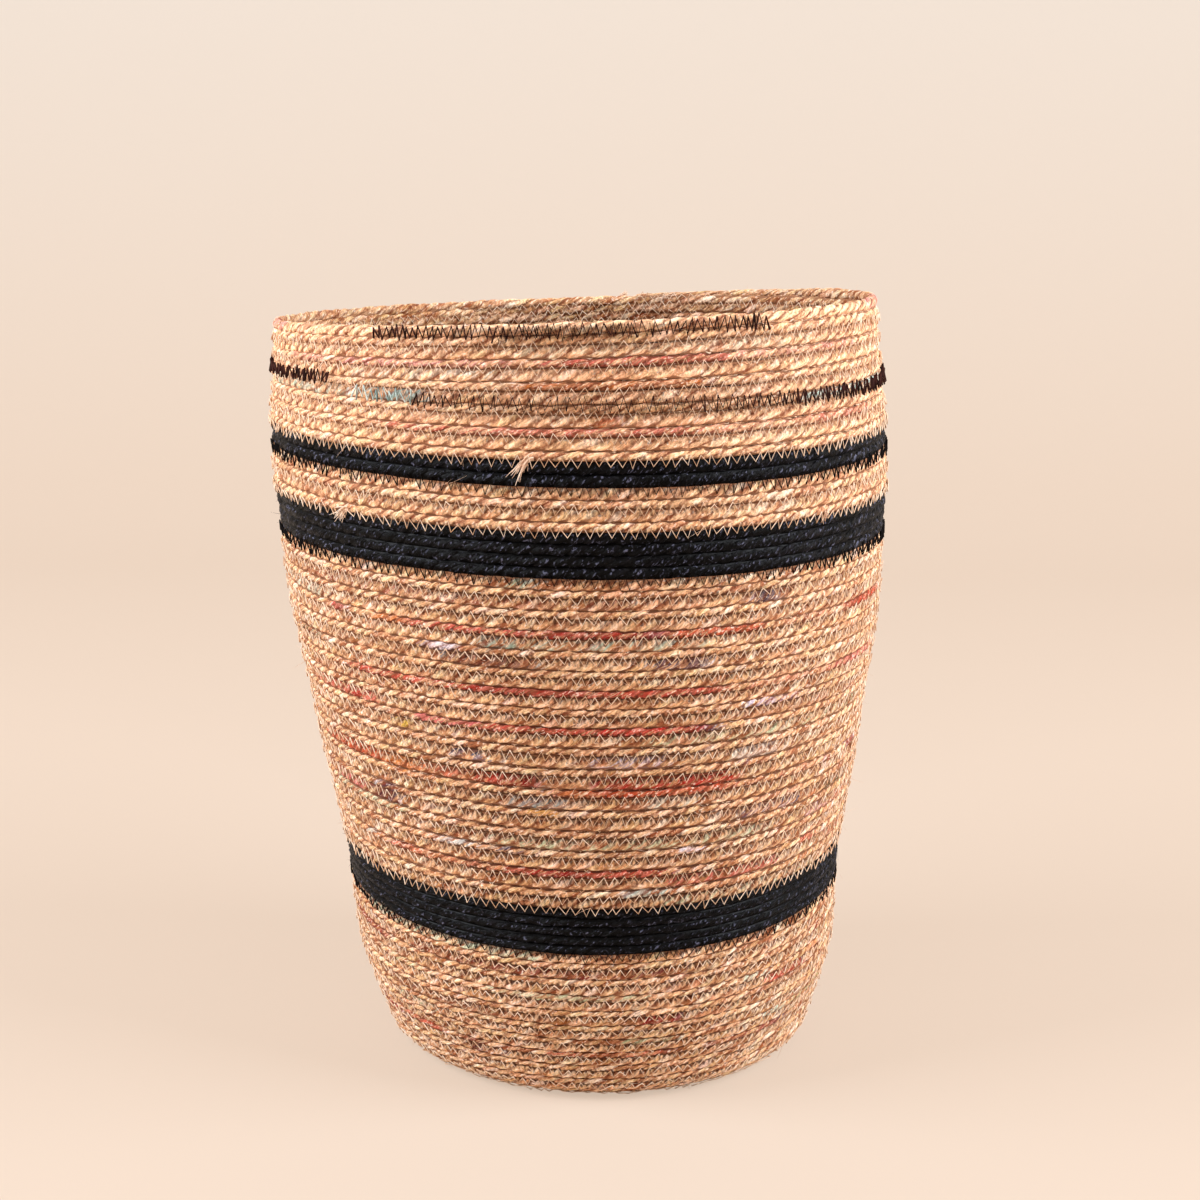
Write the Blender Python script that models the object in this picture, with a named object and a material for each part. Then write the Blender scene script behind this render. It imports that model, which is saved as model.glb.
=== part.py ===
"""Tall coiled basket: twisted plant-fibre cord, wound in one rising spiral and sewn turn to turn.

Metres, +Z up. The origin is the middle of the flat base, on the surface that the basket stands on.
The front, which carries the dark stitching of the rim, faces -Y. The coil is wound
counter-clockwise seen from above, so that each row climbs by one cord in a turn to the right.
Seven lengths of cord lie end to end: natural ones, and three black ones that make the stripes.
"""

import math

import bmesh
import bpy
import numpy as np

# The cord, and the thread that sews it
CORD_THICKNESS = 0.0050
GROOVE_DEPTH = 0.0012
RIM_CROWN = 0.0008
THREAD_RADIUS = 0.00035
STITCH_PITCH = 0.0050
CLEARANCE = 0.0003

# The outline, up the outside from the floor
BASE_RADIUS = 0.1004
HEEL_RADIUS = 0.0191
HEEL_ANGLE = math.radians(76)
SHIN_HEIGHT = 0.0377
ANKLE_HEIGHT = 0.0427
LOW_BAND_HEIGHT = 0.0232
BELLY_HEIGHT = 0.0406
WAIST_HEIGHT = 0.0428
CHEST_HEIGHT = 0.0429
NECK_HEIGHT = 0.0408
WIDE_BAND_HEIGHT = 0.0234
NARROW_WALL_HEIGHT = 0.0216
THIN_BAND_HEIGHT = 0.0126
SHOULDER_HEIGHT = 0.0327
RIM_HEIGHT = 0.0247

# How much wider the basket gets over each of those heights, less than zero where it draws in
SHIN_FLARE = 0.0117
ANKLE_FLARE = 0.0044
LOW_BAND_FLARE = 0.0026
BELLY_FLARE = 0.0075
WAIST_FLARE = 0.0069
CHEST_FLARE = 0.0072
NECK_FLARE = 0.0029
WIDE_BAND_FLARE = 0.0020
NARROW_WALL_FLARE = -0.0002
THIN_BAND_FLARE = -0.0001
SHOULDER_FLARE = -0.0031
RIM_FLARE = -0.0011

# Turns of each length of cord, counted from the middle of the base
BASE_TURNS = 19
LOWER_TURNS = 22.8
LOW_BLACK_TURNS = 5
MIDDLE_TURNS = 33
WIDE_BLACK_TURNS = 4
NARROW_TURNS = 4
THIN_BLACK_TURNS = 2
UPPER_TURNS = 11.89

# How the hand-made shape strays from a round, upright one, as shares of a radius or a height
LEAN_SHARE = -0.0370
LOW_BAND_NOD_SHARE = 0.051
WAIST_NOD_SHARE = -0.023
THIN_BAND_NOD_SHARE = -0.010
RIM_NOD_SHARE = -0.051
RIM_TIP_SHARE = 0.045
CORNER_COUNT = 3
CORNER_SHARE = 0.020
CORD_END_SHARE = 0.35

# Angles, counter-clockwise from +X, and the facets of a turn
CORD_END_ANGLE = math.radians(78)
CORNER_ANGLE = math.radians(-76)
RIM_THREAD_ANGLES = (math.radians(-131), math.radians(-51))
UPPER_THREAD_ANGLES = (math.radians(-119), math.radians(211))
UPPER_THREAD_ROWS_DOWN = 6
FACETS = 24
INNER_ROWS_APART = 4
OUTLINE_SAMPLES = 60
SHARP_ANGLE = math.radians(20)

NATURAL = "D9A67A"
BLACK = "1D1B1F"
DARK_THREAD = "2B2223"


def cubic(at, stations, values, first_slope):
    """A smooth curve through the stations, read at one place or more."""
    slopes = np.gradient(values, stations)
    slopes[0] = first_slope
    left = np.clip(np.searchsorted(stations, at, side="right") - 1, 0, len(stations) - 2)
    span = stations[left + 1] - stations[left]
    t = (at - stations[left]) / span
    rise = values[left + 1] - values[left]
    inner = (3 - 2 * t) * t**2
    first = t * (1 - t) ** 2 * span * slopes[left]
    last = t**2 * (t - 1) * span * slopes[left + 1]
    return values[left] + inner * rise + first + last


# The outside of the basket as a line from the middle of the base to the rim
HEEL_TOP = HEEL_RADIUS * (1 - math.cos(HEEL_ANGLE))
HEEL_TOP_RADIUS = BASE_RADIUS + HEEL_RADIUS * math.sin(HEEL_ANGLE)
WALL_HEIGHTS = np.cumsum(
    [
        HEEL_TOP,
        SHIN_HEIGHT,
        ANKLE_HEIGHT,
        LOW_BAND_HEIGHT,
        BELLY_HEIGHT,
        WAIST_HEIGHT,
        CHEST_HEIGHT,
        NECK_HEIGHT,
        WIDE_BAND_HEIGHT,
        NARROW_WALL_HEIGHT,
        THIN_BAND_HEIGHT,
        SHOULDER_HEIGHT,
        RIM_HEIGHT,
    ]
)
WALL_RADII = np.cumsum(
    [
        HEEL_TOP_RADIUS,
        SHIN_FLARE,
        ANKLE_FLARE,
        LOW_BAND_FLARE,
        BELLY_FLARE,
        WAIST_FLARE,
        CHEST_FLARE,
        NECK_FLARE,
        WIDE_BAND_FLARE,
        NARROW_WALL_FLARE,
        THIN_BAND_FLARE,
        SHOULDER_FLARE,
        RIM_FLARE,
    ]
)
LOW_BAND_BOTTOM, LOW_BAND_TOP = WALL_HEIGHTS[2:4]
WAIST_TOP = WALL_HEIGHTS[5]
WIDE_BAND_BOTTOM, WIDE_BAND_TOP, THIN_BAND_BOTTOM, THIN_BAND_TOP = WALL_HEIGHTS[7:11]
TOP = WALL_HEIGHTS[-1]


def outline():
    """Radius, height and length of the outline at closely spaced points."""
    turning = np.linspace(0, HEEL_ANGLE, OUTLINE_SAMPLES)
    rising = np.linspace(HEEL_TOP, TOP, OUTLINE_SAMPLES * len(WALL_HEIGHTS))[1:]
    wall = cubic(rising, WALL_HEIGHTS, WALL_RADII, 1 / math.tan(HEEL_ANGLE))
    heel_radii = BASE_RADIUS + HEEL_RADIUS * np.sin(turning)
    heel_heights = HEEL_RADIUS * (1 - np.cos(turning))
    spare = 2 * CORD_THICKNESS
    slope = (wall[-1] - wall[-2]) / (rising[-1] - rising[-2])
    radius = np.concatenate([[0], heel_radii, wall, [wall[-1] + slope * spare]])
    height = np.concatenate([[0], heel_heights, rising, [TOP + spare]])
    length = np.concatenate([[0], np.cumsum(np.hypot(np.diff(radius), np.diff(height)))])
    return radius, height, length


OUTLINE_RADIUS, OUTLINE_HEIGHT, OUTLINE_LENGTH = outline()

# Where each length of cord starts, in turns, and how far along the outline that is
BASE_END = BASE_TURNS
LOW_BLACK_START = BASE_END + LOWER_TURNS
MIDDLE_START = LOW_BLACK_START + LOW_BLACK_TURNS
WIDE_BLACK_START = MIDDLE_START + MIDDLE_TURNS
NARROW_START = WIDE_BLACK_START + WIDE_BLACK_TURNS
THIN_BLACK_START = NARROW_START + NARROW_TURNS
UPPER_START = THIN_BLACK_START + THIN_BLACK_TURNS
CORD_END = UPPER_START + UPPER_TURNS
HALF_TURN = 1 / 2
CHANGES = np.array(
    [
        LOW_BLACK_START,
        MIDDLE_START,
        WIDE_BLACK_START,
        NARROW_START,
        THIN_BLACK_START,
        UPPER_START,
        CORD_END,
    ]
)
CHANGE_HEIGHTS = [
    LOW_BAND_BOTTOM,
    LOW_BAND_TOP,
    WIDE_BAND_BOTTOM,
    WIDE_BAND_TOP,
    THIN_BAND_BOTTOM,
    THIN_BAND_TOP,
    TOP,
]
TURN_MARKS = np.concatenate([[0, BASE_END + 1], CHANGES + HALF_TURN, [CORD_END + 1]])
LENGTH_AT_RIM = np.interp(TOP, OUTLINE_HEIGHT, OUTLINE_LENGTH)
LENGTH_AT_THIN_BAND = np.interp(THIN_BAND_TOP, OUTLINE_HEIGHT, OUTLINE_LENGTH)
HALF_RIM_CORD = (LENGTH_AT_RIM - LENGTH_AT_THIN_BAND) / UPPER_TURNS / 2
CHANGE_LENGTHS = np.interp(CHANGE_HEIGHTS, OUTLINE_HEIGHT, OUTLINE_LENGTH)
LENGTH_MARKS = np.concatenate([[0, BASE_RADIUS], CHANGE_LENGTHS, [LENGTH_AT_RIM + HALF_RIM_CORD]])
START_ANGLE = CORD_END_ANGLE - CORD_END % 1 * math.tau

# How far the rows nod to the front and tip to the side on the way up. The tip halfway up makes
# the climbing rows look level from the front.
WALL_ROW = (LENGTH_AT_RIM - CHANGE_LENGTHS[0]) / (CORD_END - LOW_BLACK_START)
ROW_LEVEL_SHARE = -WALL_ROW / (math.tau * WALL_RADII[-1])
SKEW_HEIGHTS = [0, LOW_BAND_BOTTOM, WAIST_TOP, THIN_BAND_TOP, TOP]
NOD_SHARES = [0, LOW_BAND_NOD_SHARE, WAIST_NOD_SHARE, THIN_BAND_NOD_SHARE, RIM_NOD_SHARE]
TIP_SHARES = [0, 0, ROW_LEVEL_SHARE, 0, RIM_TIP_SHARE]


def spot(turn, angle, depth, along=0.0):
    """A point of the coil: a turn count, an angle, a depth inwards and a shift along the outline."""
    length = np.interp(turn, TURN_MARKS, LENGTH_MARKS) + along
    ahead = np.searchsorted(OUTLINE_LENGTH, length, side="right").clip(1, len(OUTLINE_LENGTH) - 1)
    step = OUTLINE_LENGTH[ahead] - OUTLINE_LENGTH[ahead - 1]
    outward = (OUTLINE_RADIUS[ahead] - OUTLINE_RADIUS[ahead - 1]) / step
    upward = (OUTLINE_HEIGHT[ahead] - OUTLINE_HEIGHT[ahead - 1]) / step
    height = np.interp(length, OUTLINE_LENGTH, OUTLINE_HEIGHT) + depth * outward
    corners = CORNER_SHARE * height / TOP * np.cos(CORNER_COUNT * (angle - CORNER_ANGLE))
    radius = np.interp(length, OUTLINE_LENGTH, OUTLINE_RADIUS) * (1 + corners) - depth * upward
    x, y = radius * np.cos(angle), radius * np.sin(angle)
    nod = np.interp(height, SKEW_HEIGHTS, NOD_SHARES)
    tip = np.interp(height, SKEW_HEIGHTS, TIP_SHARES)
    raised = height + nod * y + tip * x
    return np.array([x + LEAN_SHARE * height, y, raised])


def angle_of(turn):
    return START_ANGLE + turn * math.tau


def material(name, colour, roughness):
    """A matt material from an sRGB hex colour."""
    made = bpy.data.materials.new(name)
    made.use_nodes = True
    shader = made.node_tree.nodes["Principled BSDF"]
    parts = [int(colour[k : k + 2], 16) / 255 for k in (0, 2, 4)]
    linear = [((c + 0.055) / 1.055) ** 2.4 if c > 0.04045 else c / 12.92 for c in parts]
    shader.inputs["Base Color"].default_value = (*linear, 1)
    shader.inputs["Roughness"].default_value = roughness
    shader.inputs["Metallic"].default_value = 0
    made.diffuse_color = (*linear, 1)
    return made


def add_object(name, points, faces, finish):
    """An object from points and faces, all facing out."""
    shape = bmesh.new()
    corners = [shape.verts.new(point) for point in points]
    for face in faces:
        shape.faces.new([corners[k] for k in face])
    bmesh.ops.triangulate(shape, faces=shape.faces[:])
    bmesh.ops.recalc_face_normals(shape, faces=shape.faces[:])
    mesh = bpy.data.meshes.new(name)
    shape.to_mesh(mesh)
    shape.free()
    mesh.shade_smooth()
    mesh.set_sharp_from_angle(angle=SHARP_ANGLE)
    mesh.materials.append(finish)
    made = bpy.data.objects.new(name, mesh)
    bpy.context.scene.collection.objects.link(made)
    return made


class Coil:
    """The points of one length of cord, each made once and found again by its step and its kind."""

    def __init__(self, start, end):
        self.start = round(start * FACETS)
        self.end = round(end * FACETS)
        self.points = []
        self.faces = []
        self.found = {}

    def shift_of(self, kind, step):
        """Clearances along the outline and round the basket, next to the lengths that this one meets."""
        along = 0.0
        if kind != "crest":
            if self.start <= step <= self.start + FACETS:
                along = CLEARANCE / 2
            if self.end <= step <= self.end + FACETS:
                along = -CLEARANCE / 2
        around = 0.0
        if step == self.start:
            around = CLEARANCE
        if step == self.end + FACETS or (kind == "crest" and step == self.end):
            around = -CLEARANCE
        return along, around

    def corner(self, kind, step, depth, up=0.0):
        """The index of a corner. A groove or an inner corner is the lower edge of the cord at its step."""
        key = (kind, step)
        if key not in self.found:
            along, around = self.shift_of(kind, step)
            turn = step / FACETS + up
            angle = angle_of(step / FACETS)
            here = spot(turn, angle, depth, along)
            sideways = np.array([-math.sin(angle), math.cos(angle), 0])
            self.found[key] = len(self.points)
            self.points.append(here + around * sideways)
        return self.found[key]


def ladder(left, right):
    """Triangles between two chains of corners that run the same way, each a list of (height, index)."""
    faces = []
    i, j = 0, 0
    while i < len(left) - 1 or j < len(right) - 1:
        climb_left = j == len(right) - 1 or (i < len(left) - 1 and left[i + 1][0] <= right[j + 1][0])
        if climb_left:
            faces.append((left[i][1], left[i + 1][1], right[j][1]))
            i += 1
        else:
            faces.append((left[i][1], right[j + 1][1], right[j][1]))
            j += 1
    return faces


def wall_length(name, start, end, finish, is_rim=False):
    """One length of cord in the wall: ribbed outside, plain inside, butted against its neighbours."""
    coil = Coil(start, end)
    first, last = coil.start, coil.end

    def width_left(step):
        """The share of the cord's width that is left as the very end of the rim is worked down."""
        left = (last - step) / (FACETS * HALF_TURN)
        return CORD_END_SHARE + (1 - CORD_END_SHARE) * min(1, max(0, left)) if is_rim else 1

    def groove(step):
        up = width_left(step - FACETS) - 1 if step >= last else 0
        return coil.corner("groove", step, GROOVE_DEPTH, up)

    def crest(step):
        return coil.corner("crest", step, 0, width_left(step) / 2)

    def inner(step):
        up = width_left(step - FACETS) - 1 if step >= last else 0
        return coil.corner("inner", step, CORD_THICKNESS, up)

    def crown(step):
        up = width_left(step - FACETS) - 1
        length = np.interp(step / FACETS + up, TURN_MARKS, LENGTH_MARKS) + RIM_CROWN
        raised = np.interp(length, LENGTH_MARKS, TURN_MARKS) - step / FACETS
        return coil.corner("crown", step, (CORD_THICKNESS + GROOVE_DEPTH) / 2, raised)

    for step in range(first, last):
        coil.faces.append((groove(step), groove(step + 1), crest(step + 1), crest(step)))
        above = step + FACETS
        coil.faces.append((crest(step), crest(step + 1), groove(above + 1), groove(above)))
    for step in range(first, first + FACETS):
        coil.faces.append((inner(step), inner(step + 1), groove(step + 1), groove(step)))
    for step in range(last, last + FACETS):
        if is_rim:
            coil.faces.append((groove(step), groove(step + 1), crown(step + 1), crown(step)))
            coil.faces.append((crown(step), crown(step + 1), inner(step + 1), inner(step)))
        else:
            coil.faces.append((groove(step), groove(step + 1), inner(step + 1), inner(step)))
    above = first + FACETS
    coil.faces.append((groove(first), crest(first), groove(above), inner(above), inner(first)))
    beyond = last + FACETS
    tip = [crown(beyond)] if is_rim else []
    foot = [crown(last)] if is_rim else []
    end_cap = (groove(last), crest(last), groove(beyond), *tip, inner(beyond), inner(last), *foot)
    coil.faces.append(end_cap)

    kept = {}
    for step in range(first, last + FACETS + 1):
        edge = step <= first + FACETS or step >= last
        if edge or (step - first) // FACETS % INNER_ROWS_APART == 0:
            kept.setdefault(step % FACETS, []).append(step)
    for column in range(FACETS):
        lowest = first + (column - first) % FACETS
        highest = last - 1 - (last - 1 - column) % FACETS + FACETS
        left = [(step, inner(step)) for step in kept[column] if lowest <= step <= highest]
        beside = kept[(column + 1) % FACETS]
        right = [(step - 1, inner(step)) for step in beside if lowest + 1 <= step <= highest + 1]
        coil.faces.extend(ladder(left, right))
    return add_object(name, coil.points, coil.faces, finish)


def base_disc(name, finish):
    """The flat spiral of the base: ribbed on top, flat underneath, where it rests."""
    coil = Coil(0, BASE_END)
    last = coil.end
    coil.points.append(spot(0, 0, CORD_THICKNESS - GROOVE_DEPTH))

    def groove(step):
        return coil.corner("groove", step, CORD_THICKNESS - GROOVE_DEPTH) if step >= FACETS else 0

    def crest(step):
        return coil.corner("crest", step, CORD_THICKNESS, HALF_TURN)

    def under(step):
        return coil.corner("under", step, 0)

    for step in range(last):
        inside = [groove(step), groove(step + 1)] if step >= FACETS - 1 else [0]
        above = step + FACETS
        coil.faces.append((*inside, crest(step + 1), crest(step)))
        coil.faces.append((crest(step), crest(step + 1), groove(above + 1), groove(above)))
    coil.faces.append((0, crest(0), groove(FACETS)))
    for step in range(last, last + FACETS):
        coil.faces.append((groove(step), groove(step + 1), under(step + 1), under(step)))
    beyond = last + FACETS
    coil.faces.append((groove(last), crest(last), groove(beyond), under(beyond), under(last)))
    coil.faces.append([under(step) for step in range(last, last + FACETS + 1)])
    return add_object(name, coil.points, coil.faces, finish)


def on_crest(turn, lift):
    """A point over the middle of the cord, on the faceted coil, raised from it."""
    step = math.floor((turn - HALF_TURN) * FACETS)
    share = (turn - HALF_TURN) * FACETS - step
    ends = [spot(k / FACETS + HALF_TURN, angle_of(k / FACETS), -lift) for k in (step, step + 1)]
    return ends[0] * (1 - share) + ends[1] * share


def zigzag_thread(name, start, end, finish):
    """A run of zigzag stitches over one seam, from the middle of the row below to that of the row above."""
    round_it = math.tau * np.linalg.norm(spot(start, angle_of(start), 0)[:2])
    legs = 2 * round((end - start) * round_it / STITCH_PITCH)
    lift = CLEARANCE + THREAD_RADIUS
    turns = np.linspace(start, end, legs + 1)
    path = [on_crest(turn - HALF_TURN + leg % 2, lift) for leg, turn in enumerate(turns)]
    steepness = abs(path[1][2] - path[0][2]) / (STITCH_PITCH / 2)
    up = np.array([0, 0, steepness * THREAD_RADIUS])
    points = []
    for turn, here in zip(turns, path):
        angle = angle_of(turn)
        out = np.array([math.cos(angle), math.sin(angle), 0]) * THREAD_RADIUS
        points += [here + out, here - out / 2 + up, here - out / 2 - up]
    faces = [(0, 1, 2), (3 * legs, 3 * legs + 1, 3 * legs + 2)]
    for leg in range(legs):
        near, far = 3 * leg, 3 * leg + 3
        faces += [(near + k, near + (k + 1) % 3, far + (k + 1) % 3, far + k) for k in range(3)]
    return add_object(name, points, faces, finish)


def turn_at(angle, after):
    """The first turn count past a given one at which the cord lies at an angle."""
    return after + ((angle - START_ANGLE) / math.tau - after) % 1


for old in list(bpy.data.objects):
    bpy.data.objects.remove(old)

natural_cord = material("natural_cord", NATURAL, 0.85)
black_cord = material("black_cord", BLACK, 0.6)
dark_thread = material("dark_thread", DARK_THREAD, 0.7)

base_disc("base_coil", natural_cord)
wall_length("lower_wall_cord", BASE_END, LOW_BLACK_START, natural_cord.copy())
wall_length("low_black_cord", LOW_BLACK_START, MIDDLE_START, black_cord)
wall_length("middle_wall_cord", MIDDLE_START, WIDE_BLACK_START, natural_cord.copy())
wall_length("wide_black_cord", WIDE_BLACK_START, NARROW_START, black_cord.copy())
wall_length("narrow_wall_cord", NARROW_START, THIN_BLACK_START, natural_cord.copy())
wall_length("thin_black_cord", THIN_BLACK_START, UPPER_START, black_cord.copy())
wall_length("upper_wall_cord", UPPER_START, CORD_END, natural_cord.copy(), is_rim=True)

# The seam under the rim's last row, and the dark seam that goes most of the way round, lower down
rim_seam = CORD_END - 1
rim_first = turn_at(RIM_THREAD_ANGLES[0], rim_seam)
rim_last = turn_at(RIM_THREAD_ANGLES[1], rim_first)
zigzag_thread("rim_dark_thread", rim_first, rim_last, dark_thread)
upper_first = turn_at(UPPER_THREAD_ANGLES[0], rim_seam - UPPER_THREAD_ROWS_DOWN)
upper_last = upper_first + (UPPER_THREAD_ANGLES[1] - UPPER_THREAD_ANGLES[0]) / math.tau
zigzag_thread("upper_dark_thread", upper_first, upper_last, dark_thread.copy())
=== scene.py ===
"""The looks of the tall coiled basket: real twisted cord, sewn turn to turn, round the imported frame.

Metres, +Z up, the front towards -Y. The cord is wound counter-clockwise seen from above.
"""

import math

import bpy
import numpy as np
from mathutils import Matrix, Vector


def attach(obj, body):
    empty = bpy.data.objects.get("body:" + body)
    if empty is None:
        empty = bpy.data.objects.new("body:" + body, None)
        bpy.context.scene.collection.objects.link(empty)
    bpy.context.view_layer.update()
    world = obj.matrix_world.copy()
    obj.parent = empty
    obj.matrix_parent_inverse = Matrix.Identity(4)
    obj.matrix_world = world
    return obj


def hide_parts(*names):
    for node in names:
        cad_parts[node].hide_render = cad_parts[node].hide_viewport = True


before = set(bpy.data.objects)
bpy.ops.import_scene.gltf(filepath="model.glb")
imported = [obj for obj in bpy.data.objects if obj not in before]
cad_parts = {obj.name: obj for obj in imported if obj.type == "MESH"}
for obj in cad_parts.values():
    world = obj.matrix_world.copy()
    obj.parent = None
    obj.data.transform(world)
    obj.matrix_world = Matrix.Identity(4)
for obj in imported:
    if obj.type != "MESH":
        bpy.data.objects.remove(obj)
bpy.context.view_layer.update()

# The base. A flat spiral of one three-strand cord of plant fibre, laid turn beside turn and sewn
# through from turn to turn, which then bends up round the heel into the wall. All the cord of the
# basket follows this one line, so the line and the twisted cord are worked out here.
CORD_THICKNESS = 0.0050
BASE_RADIUS = 0.1004
HEEL_RADIUS = 0.0191
HEEL_ANGLE = math.radians(76)
STATION_RISES = [0.0377, 0.0427, 0.0232, 0.0406, 0.0428, 0.0429, 0.0408]
STATION_RISES += [0.0234, 0.0216, 0.0126, 0.0327, 0.0247]
STATION_FLARES = [0.0117, 0.0044, 0.0026, 0.0075, 0.0069, 0.0072, 0.0029]
STATION_FLARES += [0.0020, -0.0002, -0.0001, -0.0031, -0.0011]
LEAN_SHARE = -0.0370
NOD_SHARES = [0, 0.051, -0.023, -0.010, -0.051]
RIM_TIP_SHARE = 0.045
CORNER_SHARE = 0.020
CORNER_ANGLE = math.radians(-76)
CORD_END_ANGLE = math.radians(78)
BASE_TURNS = 19
LOWER_TURNS = 22.8
LOW_BLACK_TURNS = 5
MIDDLE_TURNS = 33
WIDE_BLACK_TURNS = 4
NARROW_TURNS = 4
THIN_BLACK_TURNS = 2
UPPER_TURNS = 11.89
OUTLINE_SAMPLES = 900
STEPS_PER_TURN = 96

BACK_ANGLE = math.radians(90)
RHYTHM = 0.0005
RHYTHM_FADE = 0.25
WOBBLE = 0.0002
SLOW_WAVE = 97
FAST_WAVE = 231
SPLICE_SHARE = 0.33
SPLICE_LENGTH = 0.060
SPLICE_ROWS = 3
OPENING_START = 0.8
OPENING_WAY = 0.1
# Where and how strongly shade is painted into the seams round from the front, and how much painted light the
# cord takes up the wall.
SEAM_SHADE_PLACES = [0.12, 0.42, 0.6, 1]
SEAM_SHADE_SHARES = [1, 0.45, 0.45, 1]
PAINTED_LIGHT_SHARES = [0, 0.25, 0.6, 1]


def smooth_curve(at, stations, values, first_slope):
    """A smooth curve through the stations."""
    slopes = np.gradient(values, stations)
    slopes[0] = first_slope
    left = np.clip(np.searchsorted(stations, at, side="right") - 1, 0, len(stations) - 2)
    span = stations[left + 1] - stations[left]
    t = (at - stations[left]) / span
    rise = values[left + 1] - values[left]
    first = t * (1 - t) ** 2 * span * slopes[left]
    last = t**2 * (t - 1) * span * slopes[left + 1]
    return values[left] + (3 - 2 * t) * t**2 * rise + first + last


heel_top = HEEL_RADIUS * (1 - math.cos(HEEL_ANGLE))
heel_top_radius = BASE_RADIUS + HEEL_RADIUS * math.sin(HEEL_ANGLE)
station_heights = np.cumsum([heel_top, *STATION_RISES])
station_radii = np.cumsum([heel_top_radius, *STATION_FLARES])
top = station_heights[-1]
turning = np.linspace(0, HEEL_ANGLE, OUTLINE_SAMPLES // 10)
rising = np.linspace(heel_top, top, OUTLINE_SAMPLES)[1:]
wall_radii = smooth_curve(rising, station_heights, station_radii, 1 / math.tan(HEEL_ANGLE))
spare = 2 * CORD_THICKNESS
rim_slope = (wall_radii[-1] - wall_radii[-2]) / (rising[-1] - rising[-2])
heel_radii = BASE_RADIUS + HEEL_RADIUS * np.sin(turning)
heel_heights = HEEL_RADIUS * (1 - np.cos(turning))
outline_radius = np.concatenate([[0], heel_radii, wall_radii, [wall_radii[-1] + rim_slope * spare]])
outline_height = np.concatenate([[0], heel_heights, rising, [top + spare]])
outline_steps = np.hypot(np.diff(outline_radius), np.diff(outline_height))
outline_length = np.concatenate([[0], np.cumsum(outline_steps)])

low_black_start = BASE_TURNS + LOWER_TURNS
middle_start = low_black_start + LOW_BLACK_TURNS
wide_black_start = middle_start + MIDDLE_TURNS
narrow_start = wide_black_start + WIDE_BLACK_TURNS
thin_black_start = narrow_start + NARROW_TURNS
upper_start = thin_black_start + THIN_BLACK_TURNS
cord_end = upper_start + UPPER_TURNS
changes = [low_black_start, middle_start, wide_black_start, narrow_start, thin_black_start, upper_start]
change_heights = [station_heights[k] for k in (2, 3, 7, 8, 9, 10)] + [top]
turn_marks = np.array([0, BASE_TURNS + 1, *(c + 0.5 for c in (*changes, cord_end)), cord_end + 1])
change_lengths = np.interp(change_heights, outline_height, outline_length)
rim_row = (change_lengths[-1] - change_lengths[-2]) / UPPER_TURNS
length_marks = np.array([0, BASE_RADIUS, *change_lengths, change_lengths[-1] + rim_row / 2])
start_angle = CORD_END_ANGLE - cord_end % 1 * math.tau
wall_row = (change_lengths[-1] - change_lengths[0]) / (cord_end - low_black_start)
row_level_share = -wall_row / (math.tau * station_radii[-1])
tip_shares = [0, 0, row_level_share, 0, RIM_TIP_SHARE]
skew_heights = [0, station_heights[2], station_heights[5], station_heights[10], top]
back_turn = (BACK_ANGLE - start_angle) / math.tau
front_turn = (back_turn + 0.5) % 1


def place(length, angle, depth):
    """Points of the wall from a length up the outline, an angle and a depth inwards."""
    ahead = np.searchsorted(outline_length, length, side="right").clip(1, len(outline_length) - 1)
    step = outline_length[ahead] - outline_length[ahead - 1]
    outward = (outline_radius[ahead] - outline_radius[ahead - 1]) / step
    upward = (outline_height[ahead] - outline_height[ahead - 1]) / step
    height = np.interp(length, outline_length, outline_height) + depth * outward
    corners = CORNER_SHARE * height / top * np.cos(3 * (angle - CORNER_ANGLE))
    radius = np.interp(length, outline_length, outline_radius) * (1 + corners) - depth * upward
    x, y = radius * np.cos(angle), radius * np.sin(angle)
    nod = np.interp(height, skew_heights, NOD_SHARES)
    tip = np.interp(height, skew_heights, tip_shares)
    return np.stack([x + LEAN_SHARE * height, y, height + nod * y + tip * x], axis=-1)


def angle_of(turn):
    return start_angle + turn * math.tau


def from_front(turn):
    """How far round from the front a turn is: 0 at the front and 1 at the back."""
    return np.abs((turn - back_turn) % 1 - 0.5) * 2


def groove(turn):
    """How far up the outline the seam under the row at a turn lies. Rows are thick and thin by turns,
    and where one length of cord ends and the next begins both run out thin, side by side."""
    length = np.interp(turn, turn_marks, length_marks)
    row = np.floor(turn - back_turn)
    rhythm = RHYTHM * np.clip((1 - from_front(turn)) / RHYTHM_FADE, 0, 1)
    calm = np.interp(turn, [BASE_TURNS, BASE_TURNS + 2, cord_end - 2, cord_end - 1], [0, 1, 1, 0])
    for first, last in zip(changes[::2], changes[1::2]):
        calm = calm * np.interp(turn, [first - 0.5, first + 0.5, last, last + 1], [1, 0, 0, 1])
    length = length + np.where(row % 2 == 0, -1, 1) * rhythm * calm
    waves = np.sin(SLOW_WAVE * turn) + np.sin(FAST_WAVE * turn + 2)
    length = length + WOBBLE * waves * np.clip(turn - 1, 0, 1)
    radius = np.interp(length, outline_length, outline_radius)
    for change in changes:
        rows_up = np.round(turn - change)
        around = (turn - change - rows_up) * math.tau * radius
        near = SPLICE_SHARE * wall_row * np.exp(-np.abs(around) / SPLICE_LENGTH)
        below = near * np.exp(np.minimum(rows_up, 0) / SPLICE_ROWS)
        above = near * np.exp(-np.maximum(rows_up - 1, 0) / SPLICE_ROWS)
        length = length + np.where(rows_up <= 0, below, -above)
    return length


def openness(turn):
    """How open the seam under the row at a turn is: 1 where the zigzag spreads, 0 where it is pulled to."""
    pulled = np.floor(turn - back_turn) % 2 == 0
    for change in changes:
        pulled = pulled & ((turn < change) | (turn > change + 1))
    return np.where(pulled, np.clip((from_front(turn) - OPENING_START) / OPENING_WAY, 0, 1), 1)


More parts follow.
